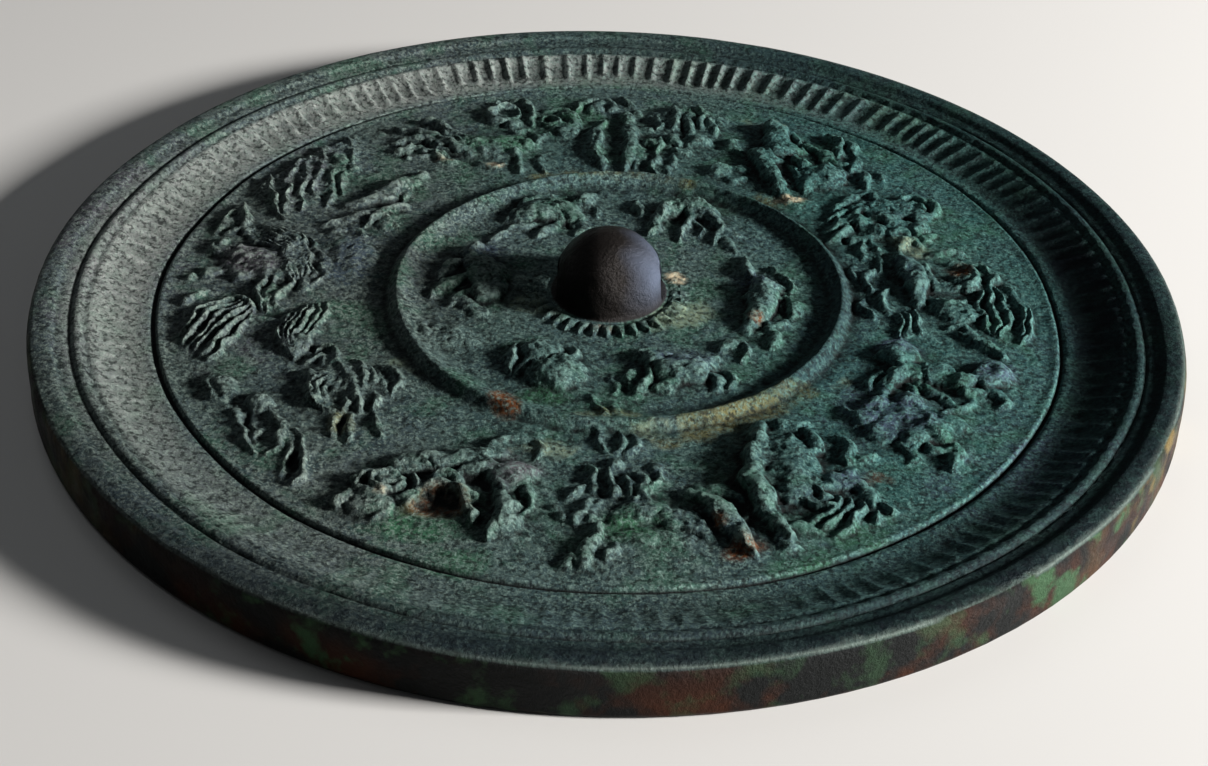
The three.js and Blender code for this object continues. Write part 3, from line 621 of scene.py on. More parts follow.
def near_beast():
    """A maned beast with its head low to the left, one hind leg stretched towards the rim."""
    stroke((-34, -53.6, -28.6, -50.2, -22.4, -48.8, -15, -46), 4.6, 2.4, full=0.45)
    blob(-30.4, -50, 8, 5, 30, 2.7, full=0.45)
    stroke((-39, -55, -36.4, -53.6, -33.4, -54), 2.6, 2.2)
    curl(-33.2, -55.8, 2.6, 1.3, 2.3, turns=1.1)
    blob(-33.2, -55.8, 3.4, 3.4, 0, 1.9)
    stroke((-37.4, -54.6, -37.8, -57.4, -35.4, -58), 1.3, 2.0)
    stroke((-29.6, -53.4, -29, -57, -31.4, -59.4), 1.6, 2.0)
    stroke((-39, -57.4, -39.6, -60, -42.6, -62.4), 2.8, 2.0, full=0.5)
    stroke((-44, -60.6, -45, -62.6, -43.4, -65), 1.8, 1.3)
    blob(-35.4, -60.4, 7.4, 5.6, 10, 1.8)
    stroke((-33.4, -59, -32.4, -62.4, -34.4, -65), 2.4, 1.5)
    stroke((-30, -60.6, -28.4, -57.2, -24.6, -55.6, -20.8, -57.4, -19.6, -61.4, -20.4, -65),
           2.4, 2.2, full=0.45)
    stroke((-27, -54, -24.6, -53, -21.6, -53.6), 2.0, 2.4)
    stroke((-22.4, -52.6, -18.4, -51, -14, -51.8), 3.4, 2.3)
    blob(-14, -52.6, 9, 7.4, 10, 2.1)
    stroke((-16.4, -54, -15.2, -58.6, -15.4, -63, -17.2, -67.6), 3.4, 2.5, full=0.42)
    blob(-13.6, -64.6, 5.6, 4.2, 60, 1.9)
    stroke((-11.6, -55.6, -11.2, -59.4, -12.6, -62), 2.2, 1.6)
    dish(-24.8, -61.2, 7.8, 6.4, -15, 0.7, 0.4)
    stroke((-18.6, -46.4, -15.4, -43.8, -12.6, -43.2), 2.0, 1.4)
    stroke((-10.6, -49, -9.8, -46, -11.4, -43.6), 1.8, 1.0)
    line((-27.6, -50.4, -25.6, -52.4, -22.6, -51.6), 1.0, 0.8, 2.4)
    line((-35.8, -53.4, -34, -52.2, -31.6, -53.4), 0.8, 0.6, 2.3)


def near_left_leaves():
    """A bud and two hollow leaves with raised edges."""
    blob(-64, -32.5, 10.4, 6.2, -62, 1.6)
    dish(-64.4, -33.5, 5.4, 2.2, -65, 0.8, 1.6)
    blob(-56.4, -36, 5.6, 5.2, -30, 2.2, full=0.5)
    dish(-55.6, -36.4, 1.8, 1.8, 0, 0.5, 2.2)
    stroke((-60.4, -38, -59, -42, -56.4, -46.4, -54.8, -49.6), 1.5, 1.4)
    stroke((-54.6, -38.2, -52, -41.6, -51.6, -45, -53.4, -49.4), 1.9, 1.9, full=0.45)
    stroke((-57.4, -40, -55.6, -44, -54.6, -47.6), 1.2, 1.2)
    dish(-57, -42.6, 6.6, 2.2, -62, 0.7, 0.5)
    stroke((-48.8, -43, -47.8, -48, -46.4, -52.4, -46.8, -56, -49.4, -57.2), 1.6, 1.7, full=0.45)
    stroke((-50.2, -45, -50.2, -50, -50.4, -55), 1.2, 0.9)
    dish(-48.6, -52.4, 8, 2.6, 86, 0.8, 0.3)


def left_peony():
    """A flower of nested, hooked petals, with two small leaves under it."""
    blob(-43.4, -29.5, 17, 11, -72, 1.1)
    stroke((-49.8, -21.4, -47.4, -19.8, -45.6, -22, -45.8, -25.4), 1.5, 1.9, full=0.45)
    stroke((-50.6, -24, -48.4, -23, -47, -25.4), 1.4, 1.7)
    blob(-49.8, -27.8, 3.6, 3.4, 0, 2.1, full=0.5)
    for share, size in ((0.0, 1.5), (0.5, 1.2), (1.0, 1.1)):
        stroke(between((-45.6, -26, -49.4, -30.4, -48, -35, -43.6, -37.2),
                       (-45, -29.6, -46.8, -31.6, -46, -34, -43.4, -34.8), share), size, 2.1, full=0.45)
    blob(-44.4, -31.8, 2.2, 2.0, 0, 1.9)
    stroke((-45, -24, -43, -27.6, -42.4, -31), 1.5, 2.0, full=0.45)
    stroke((-42.6, -22.8, -40.6, -27, -39.8, -31.4), 1.6, 2.2, full=0.45)
    stroke((-42.4, -31.4, -40.6, -33.8, -39.6, -37.4), 1.4, 2.1, full=0.45)
    stroke((-39.4, -31.4, -37.6, -34, -37.2, -37.6), 1.4, 2.0, full=0.45)
    stroke((-43.4, -33, -41.8, -35.6, -43.2, -37.6), 1.3, 1.9, full=0.5)
    stroke((-40.6, -24.6, -38.8, -27.4, -38.6, -30.6), 1.4, 1.7)
    stroke((-38.2, -24.4, -35.6, -26.2, -34.4, -29.6, -35.6, -32.6), 1.5, 1.6, full=0.5)
    stroke((-37.6, -26.6, -37.4, -29.6, -36, -32.4), 1.2, 1.3)
    stroke((-44.6, -38.4, -43.6, -41.6, -43.2, -44.6), 1.5, 1.1)
    stroke((-40.8, -38.6, -41, -42.2, -41.6, -45.8), 1.6, 1.3)
    stroke((-37, -38.6, -36.2, -41.6, -36, -44.4), 1.5, 1.2)
    dish(-42.6, -41.8, 5.6, 1.8, 80, 0.7, 0.8)


def left_phoenix():
    """A bundle of neck lines, a rough breast, and two wings of wavy feathers."""
    blob(-63.5, 6, 15, 11, -25, 1.7)
    fan(6, (-67, 19.4, -60.4, 17.4, -55.6, 11.4, -53.8, 2.6), (-67, 14.6, -62.4, 12.2, -59, 8, -57.8, 1),
        1.05, 2.2, full=0.5)
    stroke((-56.6, 16, -54, 11, -51.6, 5, -53, -1), 1.6, 1.3)
    for x, y, size in ((-65.6, 7, 4.4), (-62.4, 4, 4), (-66, 2.4, 4), (-61.6, 8, 3.6), (-68.6, 9.6, 4.4)):
        blob(x, y, size, size - 0.8, 30, 2.2, full=0.5)
    stroke((-70.4, 15, -71.4, 12, -69.6, 9), 2.0, 1.8)
    stroke((-73.4, 13, -72.8, 10.6, -70.6, 9.6), 1.8, 1.5)
    stroke((-72, 16.4, -69.4, 17.8, -66.6, 17), 1.8, 1.6)
    blob(-76.4, 1.2, 4.2, 3, 20, 1.6)
    blob(-71.8, 2.6, 4, 3, 20, 1.4)
    stroke((-71, -3.6, -73.6, -5.8, -76.2, -8), 1.9, 1.5)
    fan(6, (-65.4, -4.4, -70.4, -8, -72.4, -13, -74, -18.6),
        (-62.4, -9.4, -62.8, -14, -64.6, -18.4, -67.4, -24), 1.15, 2.1, full=0.42)
    stroke((-66, -4, -63.8, -6.6, -62.2, -10), 1.4, 2.0)
    fan(6, (-55.4, -8.4, -56.6, -12.8, -56.8, -17, -54.8, -21),
        (-49.2, -4.4, -49.4, -10, -50.4, -15.4, -53.4, -23), 1.05, 2.1, full=0.42)
    stroke((-64, -13, -60.4, -12, -56.8, -13), 0.9, 0.9)
    stroke((-62.4, 2, -62.6, -3, -61, -8.6), 1.5, 2.0, full=0.5)
    stroke((-60, 2, -60.4, -3.6, -59.6, -9), 1.5, 1.8, full=0.5)
    stroke((-57.4, 1, -58.2, -3.4, -57.8, -8.4), 1.7, 1.9, full=0.5)
    blob(-59.6, -5.5, 5, 8, 0, 1.2)
    blob(-54.6, -1, 3.4, 5, 10, 1.2)


def left_breast():
    """The smooth plain plate between the phoenix and the ridge."""
    stroke((-50.5, 14.5, -47.5, 11, -46.5, 5.5), 9.5, 0.9, start=0.5, end=0.3, full=0.8)


def left_plume():
    """A tall crest of long wavy feathers with a few round drops between them."""
    blob(-59.5, 40, 34, 17, 68, 0.9)
    stroke((-59, 51.4, -57.4, 55.2, -54, 57.4, -53, 54.4), 1.8, 1.9, full=0.45)
    stroke((-56.4, 52.6, -54.4, 53.6, -53, 51.4), 1.6, 1.6)
    stroke((-60.4, 50, -58.2, 48.6, -57.4, 45), 1.4, 1.8)
    stroke((-65.4, 42.6, -67.2, 38.4, -66.4, 33.6, -64, 28, -62.6, 22.8), 1.5, 2.1, full=0.42)
    stroke((-63.4, 46, -62.2, 41.4, -63.4, 36.6, -62.4, 31.6, -61.6, 25), 1.5, 2.3, full=0.42)
    stroke((-60.6, 46.4, -60.6, 42, -59.4, 37.6, -60.2, 32, -58.6, 26), 1.4, 2.2, full=0.42)
    stroke((-58.4, 44.4, -57.2, 40.4, -58, 36, -56.4, 30.8), 1.4, 2.1, full=0.42)
    stroke((-55.6, 42.4, -54.8, 38.4, -55.2, 33.6, -54.4, 28.8), 1.4, 1.9, full=0.45)
    stroke((-53, 40.4, -52.4, 36.6, -52.6, 32.8), 1.3, 1.7)
    stroke((-52.6, 50.4, -51.8, 46.8, -52.4, 43.6), 1.5, 1.7)
    stroke((-62.4, 37.6, -60.4, 36, -59.4, 33), 1.1, 1.9)
    stroke((-66, 37, -63.6, 35.4, -62.6, 32.4), 1.1, 1.9)
    blob(-54.6, 46, 3.6, 4.6, 25, 2.2, full=0.45)
    blob(-51.2, 42.4, 3.4, 3, 0, 1.8, full=0.5)
    blob(-57.4, 50, 3, 2.6, 0, 1.9, full=0.5)
    stroke((-68.2, 40, -68.6, 35.6, -67.4, 31.6), 1.5, 1.5)
    stroke((-70, 27.4, -69, 22, -68.4, 18, -66.4, 15.4), 2.0, 2.0, full=0.45)
    blob(-72.6, 21.6, 12, 6, 75, 1.4)
    for x, y in ((-73, 25), (-74, 20.6), (-72.2, 18), (-71.4, 22)):
        dish(x, y, 2.4, 1.8, 60, 0.7, 1.4)


def left_ribbon():
    """A slanting wedge, a ribbon and an arched petal."""
    stroke((-36.6, 42.4, -40.6, 37, -45.4, 31.6, -50.6, 28.4), 3.8, 2.3, start=0.15, full=0.42)
    stroke((-39.4, 38.4, -42, 33, -46.6, 29.4), 1.4, 2.5)
    stroke((-37, 38.6, -39.6, 34, -40, 30), 1.6, 1.4)
    stroke((-38.6, 30, -43.4, 26.4, -48.6, 24, -54, 20.6), 2.3, 2.0, full=0.45)
    stroke((-46.6, 19.8, -45.2, 23, -42.4, 24, -40, 20.6), 1.7, 1.9, full=0.45)
    stroke((-45.6, 17.4, -49, 19, -53, 17.6), 2.0, 1.4)
    blob(-42.4, 20.6, 3.4, 3.6, 0, 1.0)


def far_left_phoenix():
    """Long feathers to the left, a rough body, a scrolled crest and slim legs."""
    blob(-24, 53.5, 17, 10, 8, 1.5)
    stroke((-39.6, 63.6, -35.6, 61.4, -31.6, 57, -27, 53.6), 2.6, 2.2, start=0.6, full=0.45)
    stroke((-36.6, 59.6, -33, 56.4, -29, 52.6), 1.3, 2.3, full=0.5)
    stroke((-45.4, 59, -41, 58.4, -36.6, 56.6, -32.4, 52.6, -28.4, 50.4), 2.6, 2.1, start=0.6, full=0.45)
    stroke((-44.6, 53.6, -40.6, 55.4, -36.4, 53.8, -33, 50.6), 2.0, 1.9, start=0.6, full=0.5)
    stroke((-44.6, 50.4, -40.4, 51.8, -36.6, 50.4, -32.6, 48.8), 2.0, 1.9, start=0.6, full=0.5)
    stroke((-41.6, 47.6, -37.6, 48.6, -33.6, 47), 1.7, 1.5)
    for i in range(6):
        dish(-43.6 + 1.9 * i, 52.6 + 0.5 * math.sin(2 * i), 1.1, 2.2, 15 * i, 0.8, 2)
        dish(-42.8 + 2.0 * i, 49.6 + 0.4 * math.cos(2 * i), 1.1, 2.0, -15 * i, 0.8, 1.8)
    for i in range(7):
        blob(-30.6 + 2.2 * i, 53 + 2.2 * math.sin(2.3 * i), 3.0, 2.4, 40 * i, 2.1, full=0.5)
    stroke((-35.4, 46.6, -33, 45.4, -30.4, 46.4), 1.5, 1.2)
    stroke((-27, 46.4, -24.4, 44.6, -21.6, 47), 1.6, 1.2)
    curl(-22.8, 68, 3.8, 1.5, 2.2, turns=0.95, begin=60)
    stroke((-22.4, 73.8, -20, 74.4, -18, 71.6, -17.6, 67.6, -17.4, 63.4), 1.5, 2.0, full=0.45)
    stroke((-25.4, 72, -24.4, 74.4, -21.6, 74.6), 1.6, 1.7)
    blob(-24.6, 64.4, 3.4, 3, 0, 1.7)
    blob(-20.6, 63.6, 3, 3.4, 0, 1.8)
    curl(-13.4, 65.6, 2.6, 1.3, 1.8, turns=0.95, begin=200)
    stroke((-15.6, 69.6, -11.6, 69.8, -8.6, 67.2, -7.6, 62.8, -8.8, 59), 2.6, 1.7, full=0.5)
    blob(-10.6, 61.4, 6, 6.6, 0, 1.3)
    stroke((-17, 60.6, -15.4, 57.4, -16.4, 53), 1.3, 1.7)
    stroke((-13.6, 60, -15.4, 57, -16, 54), 1.2, 1.6)
    stroke((-18.6, 50, -19, 46, -18.2, 42.4), 1.5, 1.5, full=0.5)
    stroke((-14.6, 50.4, -14.8, 46.6, -13.6, 43), 1.4, 1.1)
    stroke((-21.4, 61, -19.4, 60, -17.4, 61.4), 1.4, 1.8)


INNER = (far_left_beast, far_right_beast, right_beast, near_right_beast_inside, near_left_beast_inside,
         left_beast, worn_beast, inner_stem)
BAND = (far_stem, far_blossoms, far_beast, right_peony, right_phoenix, near_right_beast,
        near_right_flower, near_right_bird, near_spray, near_beast, near_left_leaves, left_peony,
        left_phoenix, left_breast, left_plume, left_ribbon, far_left_phoenix)


# ---------------------------------------------------------------- the cast back as one height map

def wandered(field, seed):
    """A map read at places that stray by up to about a millimetre, as hand-cut wax does."""
    stray_x = 0.36 * grain(seed, 14, 5) + 0.07 * grain(seed + 1, 4, 2)
    stray_y = 0.36 * grain(seed + 2, 14, 5) + 0.07 * grain(seed + 3, 4, 2)
    return sampled(field, X + stray_x, Y + stray_y)


def make_back():
    """Ground rings, ridge, teeth and flutes, plus the raised forms, rounded by wear, on swellings that join
    them, plus veins and fibres, less the cuts and pits, roughened by corrosion."""
    for figure in INNER + BAND:
        figure()
    radius = np.hypot(X, Y)
    angle = np.arctan2(Y, X)
    ground = ring_heights(radius, angle) + flute_heights(radius, angle)
    ground = ground + ridge_heights(radius, angle) + tooth_heights(radius, angle)
    within = np.clip((FIGURES_R - radius) / 0.8, 0, 1)
    strokes = wandered(blurred(raised, 0.15), 21)
    swelling = blurred(raised, 1.7)
    worn = np.clip(0.86 + 0.15 * grain(31, 16, 5), 0.5, 1.15)
    figures = (0.70 * strokes * worn + 0.55 * swelling) * within
    crowd = np.clip(swelling / 0.9, 0, 1) * within
    fibres = np.abs(grain(32, 6, 1.5))
    veins = np.exp(-(grain(35, 9, 2.4) / 0.24) ** 2) - 0.25
    pits = np.clip(grain(33, 7, 1.5) - 1.2, 0, 1.4)
    lines = np.minimum(wandered(blurred(cut, 0.12), 21) * within, MOST_CUT)
    figures = figures + crowd * (0.09 * (0.8 - fibres) + 0.20 * veins - 0.20 * pits)
    over_ridge = np.exp(-((radius - ridge_crest(angle)) / 2.4) ** 2)
    back = ground + figures * (1 - 0.55 * over_ridge) - lines
    in_fields = np.clip((85 - radius) / 2, 0, 1)
    rough = 0.025 + 0.035 * in_fields
    back = back + rough * grain(11, 9, 2.2) + 0.012 * (0.4 + in_fields) * grain(12, 2, 0.7)
    return back


back_height = make_back()


# ---------------------------------------------------------------- the closed skin

WALL = [                         # radius, height: up the edge from the face to the rim's arris
    (109.1, 0.0), (109.7, 0.3), (110.0, 0.9), (109.95, 2.5), (109.85, 4.5), (109.75, 6.5), (109.6, 8.3),
    (109.35, 9.0), (108.95, 9.4),
]


def skin_rings():
    """Radii of the skin's rings with the height of each: the face, the edge, the back as far as the
    knob, and the knob. A height of None is read from the map."""
    rings = [(float(r), 0.0) for r in np.linspace(12, 106, 9)] + [(108.0, 0.0)]
    steps = []
    for (r0, z0), (r1, z1) in zip(WALL[:-1], WALL[1:]):
        count = max(int(math.hypot(r1 - r0, z1 - z0) / 0.6), 1)
        steps += [(r0 + (r1 - r0) * i / count, z0 + (z1 - z0) * i / count) for i in range(count)]
    rings += steps + [WALL[-1]]
    rings += [(float(r), None) for r in np.arange(BACK_EDGE_R, KNOB_FOOT_R, -0.3)]
    rings += [(11.5, 5.05), (11.2, 5.3), (11.0, 5.7), (KNOB_R, 6.2), (KNOB_R, 6.8)]
    rings.append((KNOB_R, KNOB_TOP - KNOB_R))
    for i in range(1, 30):
        a = i / 30 * math.pi / 2
        rings.append((KNOB_R * math.cos(a), KNOB_TOP - KNOB_R * (1 - math.sin(a))))
    return rings


def around(radius):
    """How many points go round a ring: as many as keep them about as far apart as the rings."""
    for least, count in ((66, 2304), (33, 1152), (16, 576), (6, 288), (2.5, 144)):
        if radius >= least:
            return count
    return 72


def knob_lumps(x, y, z):
    """How far the cast and worn knob swells and sinks, in millimetres: a few slow waves."""
    return (0.14 * np.sin(0.42 * x + 0.3 * z + 1) * np.sin(0.36 * y - 0.2 * z)
            + 0.07 * np.sin(0.9 * x - 0.5 * y + 0.8 * z) + 0.05 * np.sin(1.7 * y + 1.3 * z + 0.5 * x))


def edge_wander(angle, z):
    """How far the edge draws in from its widest, in millimetres: dents and a slightly flat side."""
    slow = 0.10 * (1 + np.sin(3 * angle + 0.7)) + 0.06 * (1 + np.sin(11 * angle + 0.35 * z))
    dents = 0.25 * np.exp(-((np.sin(4.5 * angle + 2) - 1) / 0.02) ** 2) * np.exp(-((z - 8.5) / 1.5) ** 2)
    return slow * np.clip(z / 2, 0, 1) + dents


def skin():
    """Points and faces of the closed skin: rings of points joined by quads, by triangles where the
    number round a ring halves, and by fans at the two poles."""
    rings = skin_rings()
    blocks, starts, counts = [], [], []
    total = 0
    for radius, height in rings:
        on_face = height == 0.0 and radius <= BACK_EDGE_R
        count = 288 if on_face and radius < 60 else around(radius)
        if on_face and radius >= 60:
            count = 576 if radius < 100 else 1152
        a = 2 * math.pi * np.arange(count) / count
        x, y = radius * np.cos(a), radius * np.sin(a)
        if height is None:
            z = sampled(back_height, x, y)
            if radius > 108.4:
                z = z - 0.05 * (1 + np.sin(17 * a))
        else:
            z = np.full(count, height)
        if height is not None and radius > 108.6:
            pulled = 1 - edge_wander(a, z) / radius
            x, y = x * pulled, y * pulled
        if height is not None and radius < 11.6 and height > 4:
            swell = 1 + (knob_lumps(x, y, z) - 0.1) / KNOB_R * np.clip((height - 5.2) / 2, 0, 1)
            x, y = x * swell, y * swell
            z = z - 0.06 * np.clip((height - 9) / 6, 0, 1) * (1 + np.sin(0.5 * x) * np.sin(0.6 * y + 1))
        blocks.append(np.stack([x, y, z], axis=1))
        starts.append(total)
        counts.append(count)
        total += count
    faces = []
    for (s0, n0), (s1, n1) in zip(zip(starts[:-1], counts[:-1]), zip(starts[1:], counts[1:])):
        faces.append(strip(s0, n0, s1, n1))
    bottom, top = total, total + 1
    blocks.append(np.array([[0, 0, 0], [0, 0, KNOB_TOP - 0.02]], float))
    i = np.arange(counts[0])
    faces.append(np.stack([np.full(counts[0], bottom), (i + 1) % counts[0], i], axis=1))
    i = np.arange(counts[-1])
    first = starts[-1]
    faces.append(np.stack([first + i, first + (i + 1) % counts[-1], np.full(counts[-1], top)], axis=1))
    return np.vstack(blocks), np.vstack(faces)


def strip(s0, n0, s1, n1):
    """Triangles between two rings, the second further along the outline: as many points round both,
    or twice as many, or four times as many, round one of them."""
    fine, coarse = max(n0, n1), min(n0, n1)
    ratio = fine // coarse
    i = np.arange(fine)
    if n0 >= n1:
        outer, outer_next = s0 + i, s0 + (i + 1) % n0
        inner, inner_next = s1 + i // ratio, s1 + ((i + 1) // ratio) % n1
        first = np.stack([outer, outer_next, inner], axis=1)
        moved = inner_next != inner
        second = np.stack([outer_next, inner_next, inner], axis=1)[moved]
    else:
        outer, outer_next = s0 + i // ratio, s0 + ((i + 1) // ratio) % n0
        inner, inner_next = s1 + i, s1 + (i + 1) % n1
        first = np.stack([outer, inner_next, inner], axis=1)
        moved = outer_next != outer
        second = np.stack([outer, outer_next, inner_next], axis=1)[moved]
    return np.vstack([first, second])


def mesh_from(name, points, faces):
    """A mesh object from points in millimetres and triangles."""
    mesh = bpy.data.meshes.new(name)
    mesh.vertices.add(len(points))
    mesh.vertices.foreach_set("co", (points * MM).ravel())
    mesh.loops.add(faces.size)
    mesh.loops.foreach_set("vertex_index", faces.ravel().astype(np.int32))
    mesh.polygons.add(len(faces))
    mesh.polygons.foreach_set("loop_start", np.arange(0, faces.size, 3, dtype=np.int32))
    mesh.update(calc_edges=True)
    mesh.validate()
    thing = bpy.data.objects.new(name, mesh)
    bpy.context.scene.collection.objects.link(thing)
    return thing


def cord_bar():
    """The hole's shape: a bar along X with a flat floor and an arched top, a little wavy."""
    half, side = HOLE_WIDTH / 2, HOLE_HEIGHT - HOLE_WIDTH / 2
    turn = np.linspace(0, math.pi, 17)
    y = np.concatenate([[half, -half][::-1], half * np.cos(turn)])
    z = HOLE_FLOOR_Z + np.concatenate([[0, 0], side + half * np.sin(turn)])
    x = np.linspace(-14, 14, 15)
    count = len(y)
    wave = 1 + 0.03 * np.sin(0.9 * x)[:, None] + 0.05 * (np.abs(x)[:, None] / 11) ** 4
    centre = HOLE_FLOOR_Z + 0.45 * HOLE_HEIGHT
    z = centre + (z - centre) * wave
    points = np.stack([np.repeat(x, count), (y * wave).ravel(), z.ravel()], axis=1)
    i = np.arange(count)
    faces = []
    for k in range(len(x) - 1):
        a, b = k * count + i, k * count + (i + 1) % count
        faces += [np.stack([a, b, b + count], axis=1), np.stack([a, b + count, a + count], axis=1)]
    last = (len(x) - 1) * count
    fan_i = np.arange(1, count - 1)
    faces.append(np.stack([np.zeros_like(fan_i), fan_i + 1, fan_i], axis=1))
    faces.append(np.stack([np.full_like(fan_i, last), last + fan_i, last + fan_i + 1], axis=1))
    return mesh_from("cord_bar", points, np.vstack(faces))


def make_mirror():
    """The skin, thinned where it is flat, with the cord hole cut through the knob."""
    mirror = mesh_from("mirror_cast", *skin())
    bar = cord_bar()
    bpy.context.view_layer.objects.active = mirror
    mirror.select_set(True)
    thin = mirror.modifiers.new("thinned", "DECIMATE")
    thin.ratio = min(FINE_TRIANGLES / len(mirror.data.polygons), 1)
    thin.use_collapse_triangulate = True
    hole = mirror.modifiers.new("cord hole", "BOOLEAN")
    hole.operation = "DIFFERENCE"
    hole.object = bar
    hole.solver = "MANIFOLD"
    for modifier in list(mirror.modifiers):
        bpy.ops.object.modifier_apply(modifier=modifier.name)
    bpy.data.objects.remove(bar)
    mirror.data.materials.clear()
    mirror.data.polygons.foreach_set("material_index", np.zeros(len(mirror.data.polygons), np.int32))
    mirror.data.shade_smooth()
    mirror.data.set_sharp_from_angle(angle=math.radians(72))
    return mirror


mirror = make_mirror()


# ---------------------------------------------------------------- where each colour lies

# x, y, length, width, turn and strength of each patch, in hundredths and degrees
PATCHES = {
    "rust": (
        (-16.5, -36, 9, 5, -60, 1), (-25, -62, 10, 8, 0, 0.8), (22, -70, 7, 4, 30, 0.9),
        (17.5, -65, 3, 3, 0, 0.8), (65, 10, 5, 5, 0, 0.9), (26, -9, 3, 3, 0, 0.8),
        (-2, -12, 8, 5, 0, 0.4), (44, -52, 8, 5, 40, 0.4),
    ),
    "ochre": (
        (-5, 41, 26, 5, 0, 0.7), (22, -36, 34, 8, 35, 0.7), (14, 38, 9, 4, -20, 0.5),
        (-16, -37, 5, 3, 0, 0.9), (-42.5, -42, 5, 7, 0, 0.6), (1, -38, 16, 5, 0, 0.5),
        (30, 34, 14, 5, -45, 0.4),
    ),
    "green": (
        (-10, -33, 9, 6, 0, 0.8), (-28, -67, 16, 9, 15, 0.7), (-20, -75, 14, 7, 10, 0.7),
        (5, -66, 18, 9, 0, 0.7), (30, -72, 18, 7, 20, 0.6), (-24, 53, 16, 10, 0, 0.7),
        (-8, 65, 14, 12, 0, 0.5), (40, -66, 16, 9, 30, 0.5), (-60, -48, 16, 9, -45, 0.4),
        (0, 82, 60, 9, 0, 0.4),
    ),
    "slate": (
        (13, -22, 10, 8, 0, 1), (27, 4, 8, 12, 80, 0.8), (50, -15.5, 9, 8, 0, 1),
        (66, -22, 10, 8, 50, 1), (47, -35, 18, 16, 0, 0.8), (-23, 12, 10, 8, 0, 0.7),
        (55, 8, 8, 24, 0, 0.5), (-48, 9, 12, 20, 0, 0.6), (66, -50, 40, 26, 45, 0.5),
        (38, -53, 7, 7, 0, 0.8),
    ),
    "plum": (
        (-66, 5, 14, 12, 0, 0.9), (-62, 40, 16, 34, 0, 0.5), (-13, -53, 12, 10, 0, 0.7),
        (-60, -20, 30, 30, 0, 0.4), (-92, 10, 40, 90, 0, 0.5),
    ),
    "pale": (
        (13, -7, 16, 8, 30, 0.65), (-14, -6, 12, 8, -30, 0.5), (8, -41, 12, 5, 5, 0.5),
        (-35, -25, 10, 4, -35, 0.5), (40, -25, 8, 4, 50, 0.5), (-8, -48, 14, 8, 0, 0.4),
        (56, 18, 10, 10, 0, 0.5), (30, 66, 14, 6, -20, 0.5),
    ),
    "chalk": (
        (12, 5.5, 4, 5, 60, 0.8), (-34, 45.5, 5, 3, 0, 0.6), (-24, 44.8, 5, 3, 0, 0.7),
        (35, 34.5, 6, 3, 0, 0.8), (-34, -61, 4, 3, 0, 0.5),
    ),
}


def patch_strength(name, x, y):
    """How strong a colour is at points in millimetres: a soft-edged oval for each of its patches."""
    strength = np.zeros(x.shape)
    for px, py, length, width, turn, most in PATCHES[name]:
        dx, dy = x / UNIT - px, y / UNIT - py
        cos, sin = math.cos(math.radians(turn)), math.sin(math.radians(turn))
        u = (dx * cos + dy * sin) / (0.5 * length)
        v = (dy * cos - dx * sin) / (0.5 * width)
        strength = np.maximum(strength, most * np.exp(-0.9 * (u ** 2 + v ** 2) ** 1.2))
    return strength


def rim_tones(radius, angle):
    """How black and how silvery the rim is: black on the lip, the ledge and just inside the near arris,
    least on the left;
    a painted shadow on the right of the hollow, which faces away from the light; a silvery painted highlight
    on the left of the hollow and the ledge, which face it."""
    lip = np.clip((radius - 103.2) / 1.2, 0, 1)
    ledge = np.clip((radius - 98.5) / 0.8, 0, 1) * (1 - lip)
    hollow = np.clip((radius - 87.5) / 3, 0, 1) * np.clip((99.2 - radius) / 0.8, 0, 1)
    on_lip = 0.85 - 0.8 * bump(angle, 130, 62) - 0.5 * bump(angle, 200, 30) + 0.1 * bump(angle, -50, 60)
    on_ledge = 0.78 - 0.9 * bump(angle, 165, 80)
    black_and_shade = lip * on_lip + ledge * on_ledge
    # painted shadow: black on the right and near right of the hollow, where the lip shades it from the light
    black_and_shade = black_and_shade + hollow * (0.95 * bump(angle, 5, 32) + 0.45 * bump(angle, -45, 40))
    inside_arris = np.exp(-((radius - 107.0) / 0.9) ** 2) * bump(angle, -100, 60)
    black_and_shade = np.maximum(black_and_shade, inside_arris)
    # painted highlight: silvery on the left of the hollow and of the ledge, where they face the light
    silver_highlight = hollow * bump(angle, 130, 58) + 0.5 * hollow * bump(angle, 195, 30)
    silver_highlight = silver_highlight + 0.5 * ledge * bump(angle, 182, 25)
    return np.clip(black_and_shade, 0, 1), np.clip(silver_highlight, 0, 1)


